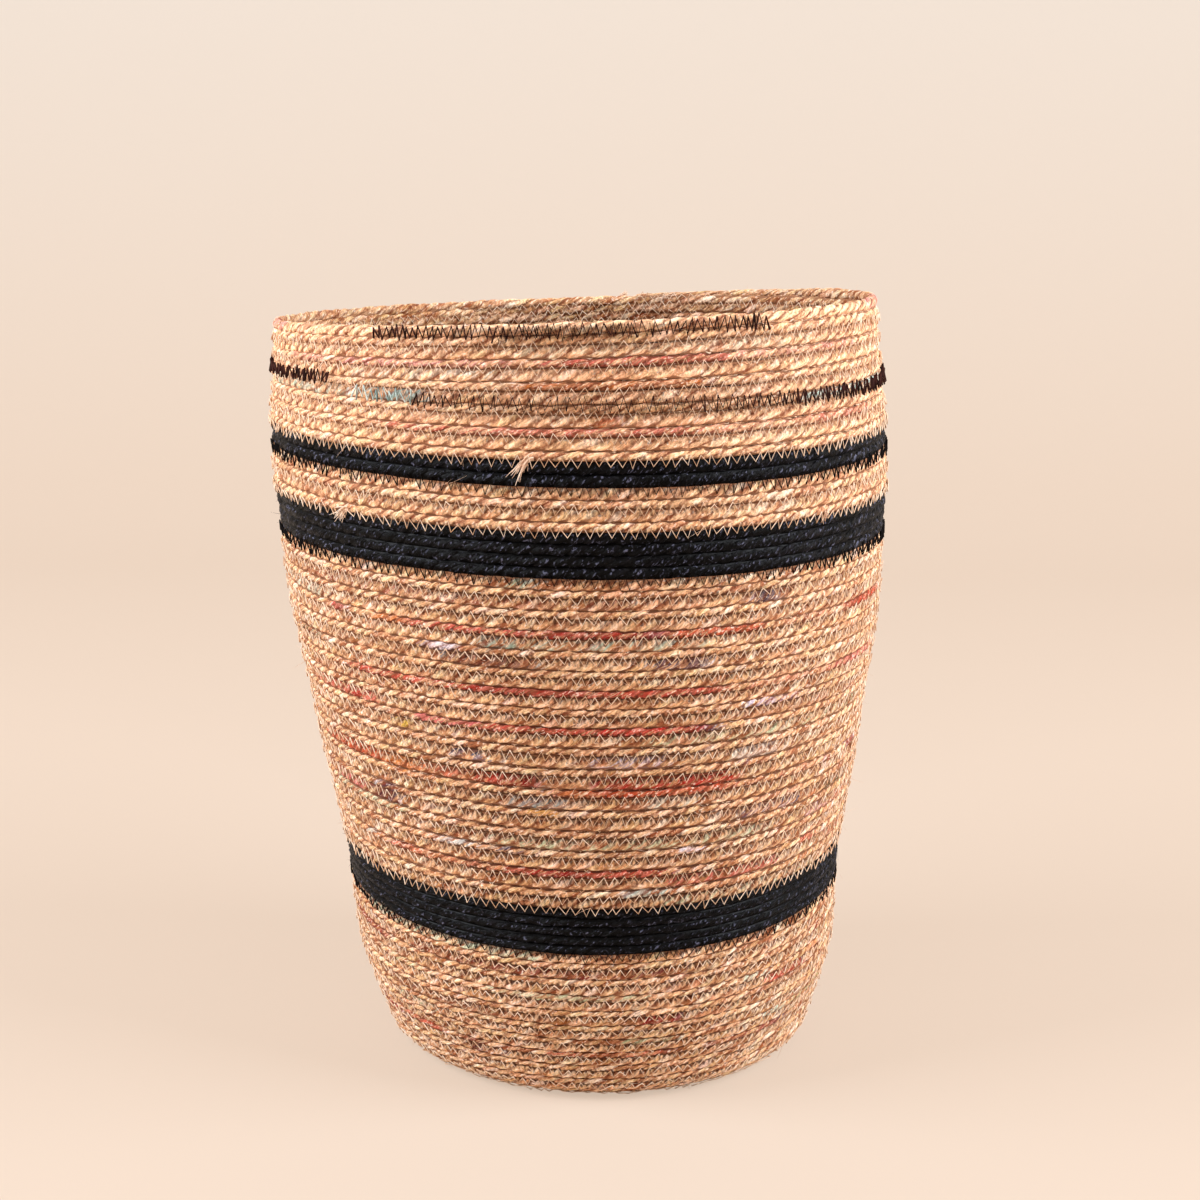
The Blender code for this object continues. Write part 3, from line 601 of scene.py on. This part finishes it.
# Where dyed yarn is spun into the natural cord: the row at the front, the degrees right of the front
# where the run begins and ends, its colour, and how much of the strand it makes up.
RUNS = [
    (101, -90, -70, "E59A8C", 0.6), (101, 70, 95, "E59A8C", 0.6), (98, -66, -50, "E29A86", 0.5),
    (98, -50, -10, "E29A90", 0.5), (98, -6, 27, "CC6454", 0.65), (98, 28, 45, "E0A088", 0.4),
    (98, 46, 60, "E69A88", 0.55), (97, -50, -10, "F3E3CC", 0.35), (99, -12, 45, "F4DDBB", 0.4),
    (95, -41, -27, "9DB8B2", 0.6), (96, -10, 22, "B5652E", 0.6), (95, -76, -45, "A9BBA5", 0.6),
    (94, 41, 80, "BCD6CA", 0.7), (93, 3, 7, "C8682C", 0.8), (92, -40, -22, "C96A52", 0.4),
    (92, -21, 20, "C86250", 0.6), (92, 20, 45, "CC7A62", 0.4), (92, 45, 66, "D97E68", 0.6),
    (79, -13, -9, "A8C0A8", 0.8), (77, -76, 10, "8E4E38", 0.35), (77, 30, 37, "33374F", 0.8),
    (74, -55, -50, "D9605A", 0.8), (74, -42, -35, "D9813F", 0.8), (74, -35, -12, "CC5A4A", 0.6),
    (74, -11, 10, "A02A20", 0.9), (74, 10, 14, "8A3550", 0.8), (74, 14, 34, "CC5634", 0.75),
    (74, 35, 54, "D08A6A", 0.35), (74, 55, 76, "C4482A", 0.9), (75, -76, -54, "C6D0B8", 0.5),
    (73, -19, -12, "9FB5A5", 0.8), (73, -12, 20, "B9C4AF", 0.35), (72, -31, -22, "E9DDE4", 0.8),
    (71, -26, -9, "4A3028", 0.6), (71, 12, 22, "3A3C55", 0.85), (70, -76, -60, "6E5A34", 0.6),
    (68, -52, -24, "C4503C", 0.65), (68, -24, 0, "A82E22", 0.9), (68, 0, 26, "C04636", 0.7),
    (68, 27, 54, "D28468", 0.35), (68, 54, 76, "D9706A", 0.6), (66, 30, 45, "C9BBCB", 0.5),
    (65, -76, -53, "CC6450", 0.6), (65, -53, -48, "B83A2C", 0.9), (65, -48, -42, "CC5A48", 0.6),
    (65, 25, 76, "9A6040", 0.35), (64, -35, -20, "D86A68", 0.65), (64, -20, 0, "BE4030", 0.75),
    (64, 0, 17, "C8342C", 0.85), (64, 17, 21, "B01C28", 1.0), (64, 21, 25, "3A3E5C", 0.85),
    (63, -40, -35, "D9B24A", 0.7), (63, 10, 76, "C9CFA8", 0.35), (61, -27, -18, "5C6378", 0.6),
    (61, 0, 16, "D9C9D4", 0.5), (61, 29, 42, "F2E8D8", 0.8), (60, 29, 31, "3E4462", 0.7),
    (59, -70, -45, "C8542E", 0.85), (59, -45, -35, "D9813F", 0.7), (59, -35, -22, "CC6A48", 0.5),
    (59, -22, -15, "B83A2C", 0.8), (59, -15, -8, "8E1F1C", 0.9), (59, 0, 30, "B8281E", 0.6),
    (58, -42, -36, "D98A48", 0.6), (58, -8, 0, "BF6428", 0.7), (58, 0, 30, "C04A26", 0.8),
    (58, 30, 50, "D08A6A", 0.3), (58, 57, 60, "C85038", 0.8), (58, 67, 73, "8E1F1C", 0.95),
    (57, -17, -5, "8FA0A0", 0.6), (57, 11, 15, "C2D2C2", 0.7), (57, 17, 22, "E2E2D0", 0.5),
    (56, -49, -43, "4A1E30", 0.85), (56, -12, -5, "D9A04A", 0.6), (55, -76, -70, "8A2A2A", 0.8),
    (55, -68, -52, "D4706A", 0.6), (55, -51, -42, "4E1A2A", 0.95), (55, 28, 50, "5C5266", 0.45),
    (55, 55, 76, "6E5A3C", 0.5), (54, -70, -40, "C6CDA8", 0.45), (53, -20, 40, "C6CDA8", 0.4),
    (53, 51, 62, "B87A8A", 0.6), (53, 63, 76, "D07A58", 0.6), (52, -34, -24, "D8D4CE", 0.6),
    (52, -21, -12, "4A4458", 0.5), (52, 18, 23, "E6DCE4", 0.6), (51, -24, -20, "B0703C", 0.6),
    (50, -57, -53, "A9BFB0", 0.6), (50, -48, -42, "CC5A3C", 0.8), (50, -42, -20, "C8704E", 0.5),
    (50, -20, -10, "B04030", 0.75), (50, -10, 0, "9A241C", 0.9), (50, 0, 16, "B8382A", 0.85),
    (50, 51, 57, "C85A42", 0.7), (49, 14, 42, "D06A5A", 0.6), (49, 60, 76, "DC8A72", 0.5),
    (48, 8, 16, "B4CCC2", 0.75), (47, 10, 60, "CDD2AE", 0.35), (41, -70, -10, "CBD2B4", 0.5),
    (38, -76, -55, "8E3A26", 0.8), (39, -55, -30, "9A5A3A", 0.5), (39, -30, 20, "7A3028", 0.5),
    (39, 58, 63, "C8603C", 0.7), (36, -60, -40, "CBCB9A", 0.4), (36, -25, 12, "B9BE96", 0.45),
    (36, 36, 42, "B9CDB4", 0.7), (36, 58, 66, "DC945A", 0.6), (35, 43, 53, "CC4A38", 0.75),
    (35, 53, 58, "A82A20", 0.95), (34, 40, 70, "8A5434", 0.45), (33, -76, -10, "8A5434", 0.4),
    (33, 8, 20, "8E2420", 0.8), (31, -55, -40, "BEC79E", 0.5), (30, 5, 20, "9CA47E", 0.5),
    (30, 43, 52, "B4C8B0", 0.6), (30, 55, 76, "A4A070", 0.6), (28, -60, -40, "C45A40", 0.7),
    (28, -33, -28, "6A2020", 0.7), (28, -12, 17, "C8603C", 0.5), (28, 17.5, 20.5, "5A1A28", 0.9),
    (28, 28, 42, "A04A34", 0.6), (28, 42, 50, "8E3A2C", 0.7), (28, 50, 57, "3E3A52", 0.6),
    (27, -76, -60, "B84238", 0.8), (27, -33, -28, "5A1A20", 0.95), (27, -27, -23, "D4CFCB", 0.6),
    (27, 60, 76, "A06A3C", 0.6), (26, -76, -70, "C4524A", 0.7),
]
RUN_FADE = 0.010


def at_front(row, degrees):
    """The turn of a row at some degrees right of the front."""
    return row + front_turn + degrees / 360


def dye_at(turn):
    """The colour of the yarn at each turn, with how strongly it shows, where a dyed bundle is spun in."""
    colour = np.tile([1.0, 1.0, 1.0, 0.0], (len(turn), 1))
    for row, left, right, tone, strength in RUNS:
        first, last = at_front(row, left), at_front(row, right)
        fade = np.clip(np.minimum(turn - first, last - turn) / RUN_FADE + 0.5, 0, 1)
        stronger = fade * strength > colour[:, 3]
        colour[stronger, :3] = linear(tone)[:3]
        colour[stronger, 3] = fade[stronger] * strength
    return colour


def turns_between(start, end):
    """Evenly spaced turns along a stretch of the spiral."""
    return np.linspace(start, end, round((end - start) * STEPS_PER_TURN) + 1)


def cord_piece(name, node, start, end, finish, slot, lay=LAY):
    """One stretch of cord that stands for a node, or for a share of it."""
    turn = turns_between(start, end)
    centre, attributes = cord_line(turn)
    piece = line_object(name, centre, attributes | {"dye": dye_at(turn)})
    sizes = {"Step": STEP, "Lay": lay, "Fill": CORD_FILL, "Strands": STRANDS, "Finish": finish}
    sizes |= {"Drift": TWIST_DRIFT, "Swelling": SWELLING, "Roughness": LUMPINESS, "Pressed": PRESSED}
    grow(piece, twisting, sizes)
    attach(piece, "root")
    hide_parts(node)


cord_piece("base_windings", "base_coil", 0, BASE_TURNS, natural_cord, "natural_base_cord")

# The lower wall. The same first length of natural cord, wound on up round the heel and sewn row on row
# to the low black stripe. It is two pieces here, so that neither mesh is too large.
half_lower = BASE_TURNS + LOWER_TURNS / 2
for k, (first, last) in enumerate([(BASE_TURNS, half_lower), (half_lower, low_black_start)], 1):
    name = f"lower_wall_windings_{k}"
    cord_piece(name, "lower_wall_cord", first, last, natural_cord, "natural_lower_cord")

# The black stripes. Three lengths of the same cord, dyed black before winding, five, four and two
# rows high and sewn on like the rest; bluish highlights are painted on single fibres of them.
BLACK_TONES = ["020202", "050405", "080709", "121015"]
# Here too the crease, line and hole colours are painted shade, and the glint colour is a painted highlight.
black_look = {"crease": "050405", "line": "050405", "hole_shade": "030303", "roughness": 0.42, "sheen": 0.09}
black_look |= {"painted_glints": "6E7088", "painted_glint_range": (0.59, 0.69), "takes_painted_light": 0}
black_cord = fibre_cord("dyed_black_fibre", BLACK_TONES, **black_look)
stripes = [
    ("low_stripe_windings", "low_black_cord", low_black_start, middle_start),
    ("wide_stripe_windings", "wide_black_cord", wide_black_start, narrow_start),
    ("thin_stripe_windings", "thin_black_cord", thin_black_start, upper_start),
]
for name, node, first, last in stripes:
    cord_piece(name, node, first, last, black_cord, "black_cord")

# The middle wall, the narrow wall between the upper stripes and the upper wall with the rim. Natural
# cord again, the middle one with long runs of red yarn and made as three pieces here; the upper one
# is twisted more loosely, and its last turn is the rim.
UPPER_LAY = 0.0285
for k in range(3):
    first = middle_start + MIDDLE_TURNS * k / 3
    last = middle_start + MIDDLE_TURNS * (k + 1) / 3
    name = f"middle_wall_windings_{k + 1}"
    cord_piece(name, "middle_wall_cord", first, last, natural_cord, "natural_middle_cord")
narrow = (narrow_start, thin_black_start, natural_cord, "natural_narrow_cord")
cord_piece("narrow_wall_windings", "narrow_wall_cord", *narrow)
upper = (upper_start, cord_end, natural_cord, "natural_upper_cord")
cord_piece("upper_wall_windings", "upper_wall_cord", *upper, lay=UPPER_LAY)

# The sewing thread. A thin pale cotton thread in a machine zigzag along every seam, its corners in the
# rows above and below; each black stripe is sewn with black thread, which also takes its lower edge.
# It soils in spots about 6 mm apart.
STITCH = 0.0052
THREAD_RADIUS = 0.00033
OPEN_REACH = 0.84
PULLED_REACH = 0.25
PULLED_DEPTH = 0.0026
THREAD_LIFT = 0.00045
DARK_RADIUS = 0.00040
DARK_LIFT = 0.0013
EDGE_LIFT = 0.0001
EDGE_SHIFT = -0.18
EDGE_SPREAD = 1.2
BLACK_STITCH = 0.0045
UNEVENNESS = 0.0008
SOILED_SPOTS = 160


def seam_line(turn, side, lift=THREAD_LIFT, shift=0, spread=1, opened=None):
    """The seam under the rows at the turns, or a share of a row higher up, outside (side 1) or inside
    (side -1) the wall, and how far the stitches reach from it."""
    angle = angle_of(turn)
    below, here, above = groove(turn - 1), groove(turn), groove(turn + 1)
    girth_up, girth_down = (above - here) / 2, (here - below) / 2
    depth_up = np.zeros(len(turn)) if side > 0 else 2 * girth_up
    depth_down = np.zeros(len(turn)) if side > 0 else 2 * girth_down
    open_share = openness(turn) if opened is None else opened
    share = (PULLED_REACH + (OPEN_REACH - PULLED_REACH) * open_share) * spread
    sunk = (PULLED_DEPTH - (PULLED_DEPTH + lift) * open_share) * side
    moved = here + shift * (above - here)
    upper = place(moved + girth_up * share, angle, depth_up + sunk)
    lower = place(moved - girth_down * share, angle, depth_down + sunk)
    return (upper + lower) / 2, (upper - lower) / 2


def stitch_tree():
    """A zigzag of thread along the seam, one corner in each row, a little uneven as a hand-fed one is."""
    sockets = {"Half Stitch": "Float", "Radius": "Float", "Unevenness": "Float", "Seed": "Int"}
    tree, given = new_tree("zigzag_stitches", sockets | {"Finish": "Material"})
    curve = add(tree, "GeometryNodeMeshToCurve", {"Mesh": given["Geometry"]})
    spaced = {"Curve": curve, "Length": given["Half Stitch"]}
    curve = add(tree, "GeometryNodeResampleCurve", spaced, mode="LENGTH")
    way = add(tree, MATH, (add(tree, "GeometryNodeInputIndex"), 2), "MODULO")
    way = add(tree, MATH, (way, 2, -1), "MULTIPLY_ADD")
    spread = {"Min": (-1, -1, -1), "Max": (1, 1, 1), "Seed": given["Seed"]}
    stray = add(tree, "FunctionNodeRandomValue", spread, data_type="FLOAT_VECTOR")
    stray = add(tree, VECTOR_MATH, (stray, given["Unevenness"]), "MULTIPLY")
    reach = add(tree, READ, {"Name": "reach"}, data_type="FLOAT_VECTOR")
    shift = add(tree, VECTOR_MATH, (reach, way, stray), "MULTIPLY_ADD")
    curve = add(tree, "GeometryNodeSetPosition", {"Geometry": curve, "Offset": shift})
    ring = {"Resolution": 4, "Radius": given["Radius"]}
    ring = add(tree, "GeometryNodeCurvePrimitiveCircle", ring, mode="RADIUS")
    swept = {"Curve": curve, "Profile Curve": ring, "Fill Caps": True}
    mesh = add(tree, "GeometryNodeCurveToMesh", swept)
    return finished(tree, above_floor(tree, mesh), given["Finish"])


def dry_fibre(name, tone, other, spots, edges, roughness, gloss):
    """Cotton or plant fibre: matt, and of one tone or another in spots that come so often in a metre."""
    made, tree, shader = new_material(name)
    spot = add(tree, "ShaderNodeTexCoord").outputs["Object"]
    worn = add(tree, EASE, (add(tree, NOISE, {"Vector": spot, "Scale": spots}), *edges))
    tones = {0: worn, 6: linear(tone), 7: linear(other)}
    put(tree, add(tree, MIX, tones, data_type="RGBA"), shader.inputs["Base Color"])
    put(tree, roughness, shader.inputs["Roughness"])
    put(tree, gloss, shader.inputs["Specular IOR Level"])
    return made


# Spun cotton: quite matt, and now and then a little darker where it is soiled or worn.
spun_look = (SOILED_SPOTS, (0.35, 0.65), 0.9, 0.1)
stitching = stitch_tree()
pale_thread = dry_fibre("pale_cotton_thread", "CC9E78", "F2D8BE", *spun_look)
black_thread = dry_fibre("black_cotton_thread", "070505", "120C0B", *spun_look)


def seam_piece(name, line, finish, seed, radius=THREAD_RADIUS, stitch=STITCH, stray=UNEVENNESS):
    """The stitches along one stretch of seam."""
    middle, reach = line
    piece = line_object(name, middle, {"reach": reach})
    sizes = {"Half Stitch": stitch / 2, "Radius": radius, "Unevenness": stray, "Seed": seed}
    grow(piece, stitching, sizes | {"Finish": finish})
    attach(piece, "root")
    return piece


stretches = [
    ("base", 1.5, BASE_TURNS + 1, pale_thread, "pale_thread"),
    ("lower_wall", BASE_TURNS + 1, low_black_start, pale_thread, "pale_thread"),
    ("low_stripe", low_black_start, middle_start, black_thread, "dark_thread"),
    ("middle_wall", middle_start, wide_black_start, pale_thread, "pale_thread"),
    ("wide_stripe", wide_black_start, narrow_start, black_thread, "dark_thread"),
    ("narrow_wall", narrow_start, thin_black_start, pale_thread, "pale_thread"),
    ("thin_stripe", thin_black_start, upper_start, black_thread, "dark_thread"),
    ("upper_wall", upper_start, cord_end, pale_thread, "pale_thread"),
]
for k, (name, first, last, finish, slot) in enumerate(stretches):
    turn = turns_between(first, last)
    for side, face in ((1, "outside"), (-1, "inside")):
        line, radius, stitch = seam_line(turn, side), THREAD_RADIUS, STITCH
        if finish == black_thread:
            low_edge = np.where(turn < first + 1, 1, 0)
            line = seam_line(turn, side, EDGE_LIFT, EDGE_SHIFT * low_edge, EDGE_SPREAD, low_edge)
            radius, stitch = DARK_RADIUS, BLACK_STITCH
        seam_piece(f"{name}_thread_{face}", line, finish, k + 20 * (side < 0), radius, stitch)

# The dark threads. A seam about six rows under the rim is sewn with dark brown thread, which starts
# teal grey at the front left and goes round the back to the left edge; more of it repairs the rim.
# Each run drifts up or down from its seam, by a share of a row, and is wider than the other sewing.
dark_thread = dry_fibre("dark_brown_thread", "200E0C", "42241F", *spun_look)
teal_thread = dry_fibre("teal_grey_thread", "7A928E", "DCE4DA", *spun_look)
mauve_thread = dry_fibre("mauve_grey_thread", "5E4C52", "8A767C", *spun_look)
SEAM_ROW = 95
TEAL_START = -43
SEAM_START = -29
SEAM_END = 310
RIM_ROW = 101
SEAM_RADIUS = 0.00048
REPAIR_RADIUS = 0.00060
DARK_STITCH = 0.0034
DARK_SPREAD = 1.4
DARK_UNEVENNESS = 0.0009
SEAM_DRIFT = (0.1, -0.5, -0.6, 0.5, 0.9)

dark_runs = [
    ("upper_seam_outside", SEAM_ROW, (SEAM_START, SEAM_END), 1, SEAM_DRIFT, dark_thread, 41, SEAM_RADIUS),
    ("upper_seam_inside", SEAM_ROW, (SEAM_START, SEAM_END), -1, SEAM_DRIFT, mauve_thread, 42, SEAM_RADIUS),
    ("upper_seam_teal_end", SEAM_ROW, (TEAL_START, SEAM_START), 1, (0.4, 0.2), teal_thread, 43, SEAM_RADIUS),
    ("rim_repair_thread_1", RIM_ROW, (-38, 34), 1, (0.40, 0.30, 0.20), dark_thread, 51, REPAIR_RADIUS),
    ("rim_repair_thread_2", RIM_ROW, (-14, 10), 1, (0.05, 0.15), dark_thread, 52, SEAM_RADIUS),
]
for name, row, degrees, side, shifts, finish, seed, radius in dark_runs:
    turn = turns_between(*(at_front(row, d) for d in degrees))
    drift = np.interp(turn, np.linspace(turn[0], turn[-1], len(shifts)), shifts)
    line = seam_line(turn, side, DARK_LIFT, drift, DARK_SPREAD, 1)
    piece = seam_piece(name, line, finish, seed, radius, DARK_STITCH, DARK_UNEVENNESS)
    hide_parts("upper_dark_thread" if row == SEAM_ROW else "rim_dark_thread")

# The loose fibres. Ends of plant fibre stand off the cord all over, thin and slightly curled. Tips fray
# where one length of cord ends and the next begins, and a few loose flaps hang over the rows below.
FUZZ_COUNT = 7500
FUZZ_STEPS = 4
FUZZ_RADIUS = 0.00012
FUZZ_SWEEP = 1.1
FUZZ_FORWARD = (0.4, 1)
FUZZ_OUTWARD = (0.05, 0.5)
FUZZ_STRAY = 0.4
FUZZ_CURL = 0.5
FUZZ_LENGTH = 0.0014
FUZZ_SPREAD = 2.2
FUZZ_SHORTEST = 0.001
FUZZ_LONGEST = 0.011
FIBRE_TAPER = 0.8
SHADES_PER_METRE = 90


def fibre_tree():
    """Thin round fibres that taper to a point along each chain."""
    tree, given = new_tree("loose_fibres", {"Radius": "Float", "Finish": "Material"})
    curve = add(tree, "GeometryNodeMeshToCurve", {"Mesh": given["Geometry"]})
    ring = {"Resolution": 3, "Radius": given["Radius"]}
    ring = add(tree, "GeometryNodeCurvePrimitiveCircle", ring, mode="RADIUS")
    along = add(tree, "GeometryNodeSplineParameter").outputs["Factor"]
    thin = add(tree, MATH, (along, -FIBRE_TAPER, 1), "MULTIPLY_ADD")
    swept = {"Curve": curve, "Profile Curve": ring, "Scale": thin, "Fill Caps": True}
    mesh = add(tree, "GeometryNodeCurveToMesh", swept)
    return finished(tree, above_floor(tree, mesh), given["Finish"])


# Single plant fibres: dry, a little glossier than the spun cord, and of another tone every 11 mm.
loose_look = (SHADES_PER_METRE, (0.3, 0.7), 0.8, 0.5)
fibres = fibre_tree()
pale_fibre = dry_fibre("loose_plant_fibre", "D9A680", "FCE8D2", *loose_look)
black_fibre = dry_fibre("loose_black_fibre", "0E0C10", "3A3644", *loose_look)


def fibre_piece(name, chains, radius, finish):
    """Fibres along chains of points."""
    piece = line_object(name, chains, {})
    grow(piece, fibres, {"Radius": radius, "Finish": finish})
    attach(piece, "root")


def fuzz(name, start, end, count, finish, seed):
    """Loose fibre ends scattered over a stretch of wall, each leaving the cord at a low angle."""
    chance = np.random.default_rng(seed)
    turn = np.sort(chance.uniform(start, end, count))
    centre, lie = cord_line(turn)
    out, up, girth = lie["outward"], lie["upward"], lie["girth"][:, None]
    forward = np.cross(out, up)
    sweep = chance.uniform(-FUZZ_SWEEP, FUZZ_SWEEP, (count, 1))
    root = centre + (out * np.cos(sweep) + up * np.sin(sweep)) * girth
    way = np.where(chance.random((count, 1)) < 0.5, -1, 1)
    heading = way * forward * chance.uniform(*FUZZ_FORWARD, (count, 1))
    heading = heading + out * chance.uniform(*FUZZ_OUTWARD, (count, 1))
    heading += up * chance.normal(0, FUZZ_STRAY, (count, 1))
    curl = chance.normal(0, FUZZ_CURL, (count, 3)) - out * 0.4
    length = chance.gamma(FUZZ_SPREAD, FUZZ_LENGTH, (count, 1)).clip(FUZZ_SHORTEST, FUZZ_LONGEST)
    share = np.linspace(0, 1, FUZZ_STEPS)[None, :, None]
    chains = root[:, None] + (heading[:, None] * share + curl[:, None] * share**2) * length[:, None]
    fibre_piece(name, chains, FUZZ_RADIUS, finish)


walls = [
    ("lower_wall", BASE_TURNS, low_black_start, pale_fibre, "natural_lower_cord"),
    ("low_stripe", low_black_start, middle_start, black_fibre, "black_cord"),
    ("middle_wall", middle_start, wide_black_start, pale_fibre, "natural_middle_cord"),
    ("wide_stripe", wide_black_start, narrow_start, black_fibre, "black_cord"),
    ("narrow_wall", narrow_start, thin_black_start, pale_fibre, "natural_narrow_cord"),
    ("thin_stripe", thin_black_start, upper_start, black_fibre, "black_cord"),
    ("upper_wall", upper_start, cord_end, pale_fibre, "natural_upper_cord"),
]
wall_turns = cord_end - BASE_TURNS
for k, (name, first, last, finish, slot) in enumerate(walls):
    count = round(FUZZ_COUNT * (last - first) / wall_turns)
    fuzz(f"{name}_loose_fibres", first, last, count, finish, 70 + k)

TIP_FIBRES = 80
TIP_STEPS = 9
TIP_RADIUS = 0.00050
TIP_LENGTHS = (0.004, 0.009)
TIP_FILL = 0.95
TIP_SIZE = 0.75
TIP_SPRAY = 0.10
FLAP_SPRAY = 0.22


def frayed_tip(name, end, way, droop, finish, slot, seed, size, spray):
    """The frayed end of a length of cord, or a loose flap of it: a bundle of fibres that goes on past it
    and lies over its neighbour, up (droop above 0) or down (droop below 0)."""
    chance = np.random.default_rng(seed)
    each = (TIP_FIBRES, 1)
    centre, lie = cord_line(np.array([end - way * 0.002]))
    out, up, girth = lie["outward"], lie["upward"], lie["girth"][0]
    forward = np.cross(up, out) * way
    around = chance.uniform(0, math.tau, each)
    width = girth * np.sqrt(chance.uniform(0, 1, each)) * TIP_FILL
    root = centre + (out * np.cos(around) + up * np.sin(around)) * width
    length = chance.uniform(*TIP_LENGTHS, each) * size
    share = np.linspace(0, 1, TIP_STEPS)[None, :, None]
    closing = (centre + out * girth * 0.8 - root)[:, None] * share * 0.5
    bend = (up * droop * 0.45 + out * 0.08)[:, None] * share**2
    stray = chance.normal(0, spray, (*each, 3)) * share**2
    chains = root[:, None] + (forward[:, None] * share + bend + stray) * length[:, None] + closing
    fibre_piece(name, chains, TIP_RADIUS, finish)


tips = [
    ("lower_wall_end", low_black_start, 1, 1, pale_fibre, "natural_lower_cord"),
    ("middle_wall_start", middle_start, -1, -1, pale_fibre, "natural_middle_cord"),
    ("middle_wall_end", wide_black_start, 1, 1, pale_fibre, "natural_middle_cord"),
    ("narrow_wall_start", narrow_start, -1, -1, pale_fibre, "natural_narrow_cord"),
    ("narrow_wall_end", thin_black_start, 1, 1, pale_fibre, "natural_narrow_cord"),
    ("upper_wall_start", upper_start, -1, -1, pale_fibre, "natural_upper_cord"),
    ("rim_end", cord_end, 1, -1, pale_fibre, "natural_upper_cord"),
]
for k, (name, *rest) in enumerate(tips):
    frayed_tip(f"{name}_fibres", *rest, 90 + k, TIP_SIZE, TIP_SPRAY)
flaps = [
    ("front_tuft", at_front(90, -8), -1, -2.2, "natural_upper_cord", 1.1),
    ("left_tuft", at_front(84, -46), -1, -1.5, "natural_narrow_cord", 1),
    ("right_tuft", at_front(84, 48), -1, -1.5, "natural_narrow_cord", 0.9),
    ("back_tuft", at_front(101, 171), -1, 0.7, "natural_upper_cord", 0.45),
]
for k, (name, turn, way, droop, slot, size) in enumerate(flaps):
    frayed_tip(f"{name}_fibres", turn, way, droop, pale_fibre, slot, 110 + k, size, FLAP_SPRAY)

# The floor, the light and the camera. A plain warm paper sweep that bends up behind the basket, two
# large soft lamps, one at each side in front, and the photograph's own viewing angle.
FLOOR_TONE = "D8C8BA"
PAPER_LOW = "ECD5C0"
PAPER_HIGH = "EFE3D6"
PAPER_GLOW = 0.7
FLOOR_FRONT = -1.6
FLOOR_BACK = 1.2
FLOOR_SIDE = 3
BEND_RADIUS = 0.6
BACKDROP_TOP = 3.0
paper, tree, shader = new_material("plain_paper")
put(tree, linear(FLOOR_TONE), shader.inputs["Base Color"])
put(tree, 0.9, shader.inputs["Roughness"])
put(tree, 0, shader.inputs["Specular IOR Level"])
height = add(tree, "ShaderNodeSeparateXYZ", [add(tree, "ShaderNodeTexCoord").outputs["Object"]]).outputs["Z"]
tones = {0: add(tree, EASE, (height, 0.05, 0.6)), 6: linear(PAPER_LOW), 7: linear(PAPER_HIGH)}
glow = {"Color": add(tree, MIX, tones, data_type="RGBA"), "Strength": 1}
glow = add(tree, "ShaderNodeEmission", glow)
rays = add(tree, "ShaderNodeLightPath").outputs
seen = add(tree, MATH, (rays["Is Camera Ray"], rays["Is Glossy Ray"]), "MAXIMUM")
seen = add(tree, MATH, (seen, rays["Is Transmission Ray"]), "MAXIMUM")
seen = add(tree, MATH, (seen, PAPER_GLOW), "MULTIPLY")
mixed = add(tree, "ShaderNodeMixShader", (seen, shader, glow))
put(tree, mixed, tree.nodes["Material Output"].inputs["Surface"])
profile = [(FLOOR_FRONT, 0), (FLOOR_BACK, 0)]
for angle in np.linspace(0, math.pi / 2, 13)[1:]:
    back = FLOOR_BACK + BEND_RADIUS * math.sin(angle)
    profile.append((back, BEND_RADIUS - BEND_RADIUS * math.cos(angle)))
profile.append((FLOOR_BACK + BEND_RADIUS, BACKDROP_TOP))
verts = [(x, y, z) for y, z in profile for x in (-FLOOR_SIDE, FLOOR_SIDE)]
faces = [(2 * k, 2 * k + 1, 2 * k + 3, 2 * k + 2) for k in range(len(profile) - 1)]
mesh = bpy.data.meshes.new("floor")
mesh.from_pydata(verts, [], faces)
mesh.materials.append(paper)
mesh.shade_smooth()
floor = bpy.data.objects.new("floor", mesh)
bpy.context.scene.collection.objects.link(floor)

LAMP_AIM = (0, 0, 0.25)
LAMP_SIZE = 1.3
LAMP_TONE = "F0F7FF"
ROOM_TONE = "FFE4CC"
ROOM_LIGHT = 0.46
for name, spot, watts in (
    ("window_left", (-1.75, -0.52, 1.35), 66),
    ("window_right", (1.75, -0.52, 1.35), 69),
):
    lamp = bpy.data.lights.new(name, "AREA")
    lamp.size = LAMP_SIZE
    lamp.energy = watts
    lamp.color = linear(LAMP_TONE)[:3]
    window = bpy.data.objects.new(name, lamp)
    window.location = spot
    window.rotation_euler = (Vector(LAMP_AIM) - Vector(spot)).to_track_quat("-Z", "Y").to_euler()
    bpy.context.scene.collection.objects.link(window)
world = bpy.data.worlds.new("room")
world.use_nodes = True
world.node_tree.nodes["Background"].inputs[0].default_value = linear(ROOM_TONE)
world.node_tree.nodes["Background"].inputs[1].default_value = ROOM_LIGHT
bpy.context.scene.world = world

CAMERA_PLACE = (-0.0019, -1.2241, 0.5193)
CAMERA_LENS = 69.06
PITCH = math.radians(12.82)
ROLL = math.radians(0.64)
lens = bpy.data.cameras.new("camera")
lens.lens = CAMERA_LENS
camera = bpy.data.objects.new("camera", lens)
camera.location = CAMERA_PLACE
camera.rotation_euler = (math.radians(90) - PITCH, 0, 0)
camera.rotation_euler.rotate_axis("Z", ROLL)
bpy.context.scene.collection.objects.link(camera)
bpy.context.scene.camera = camera
bpy.context.scene.view_settings.view_transform = "Standard"
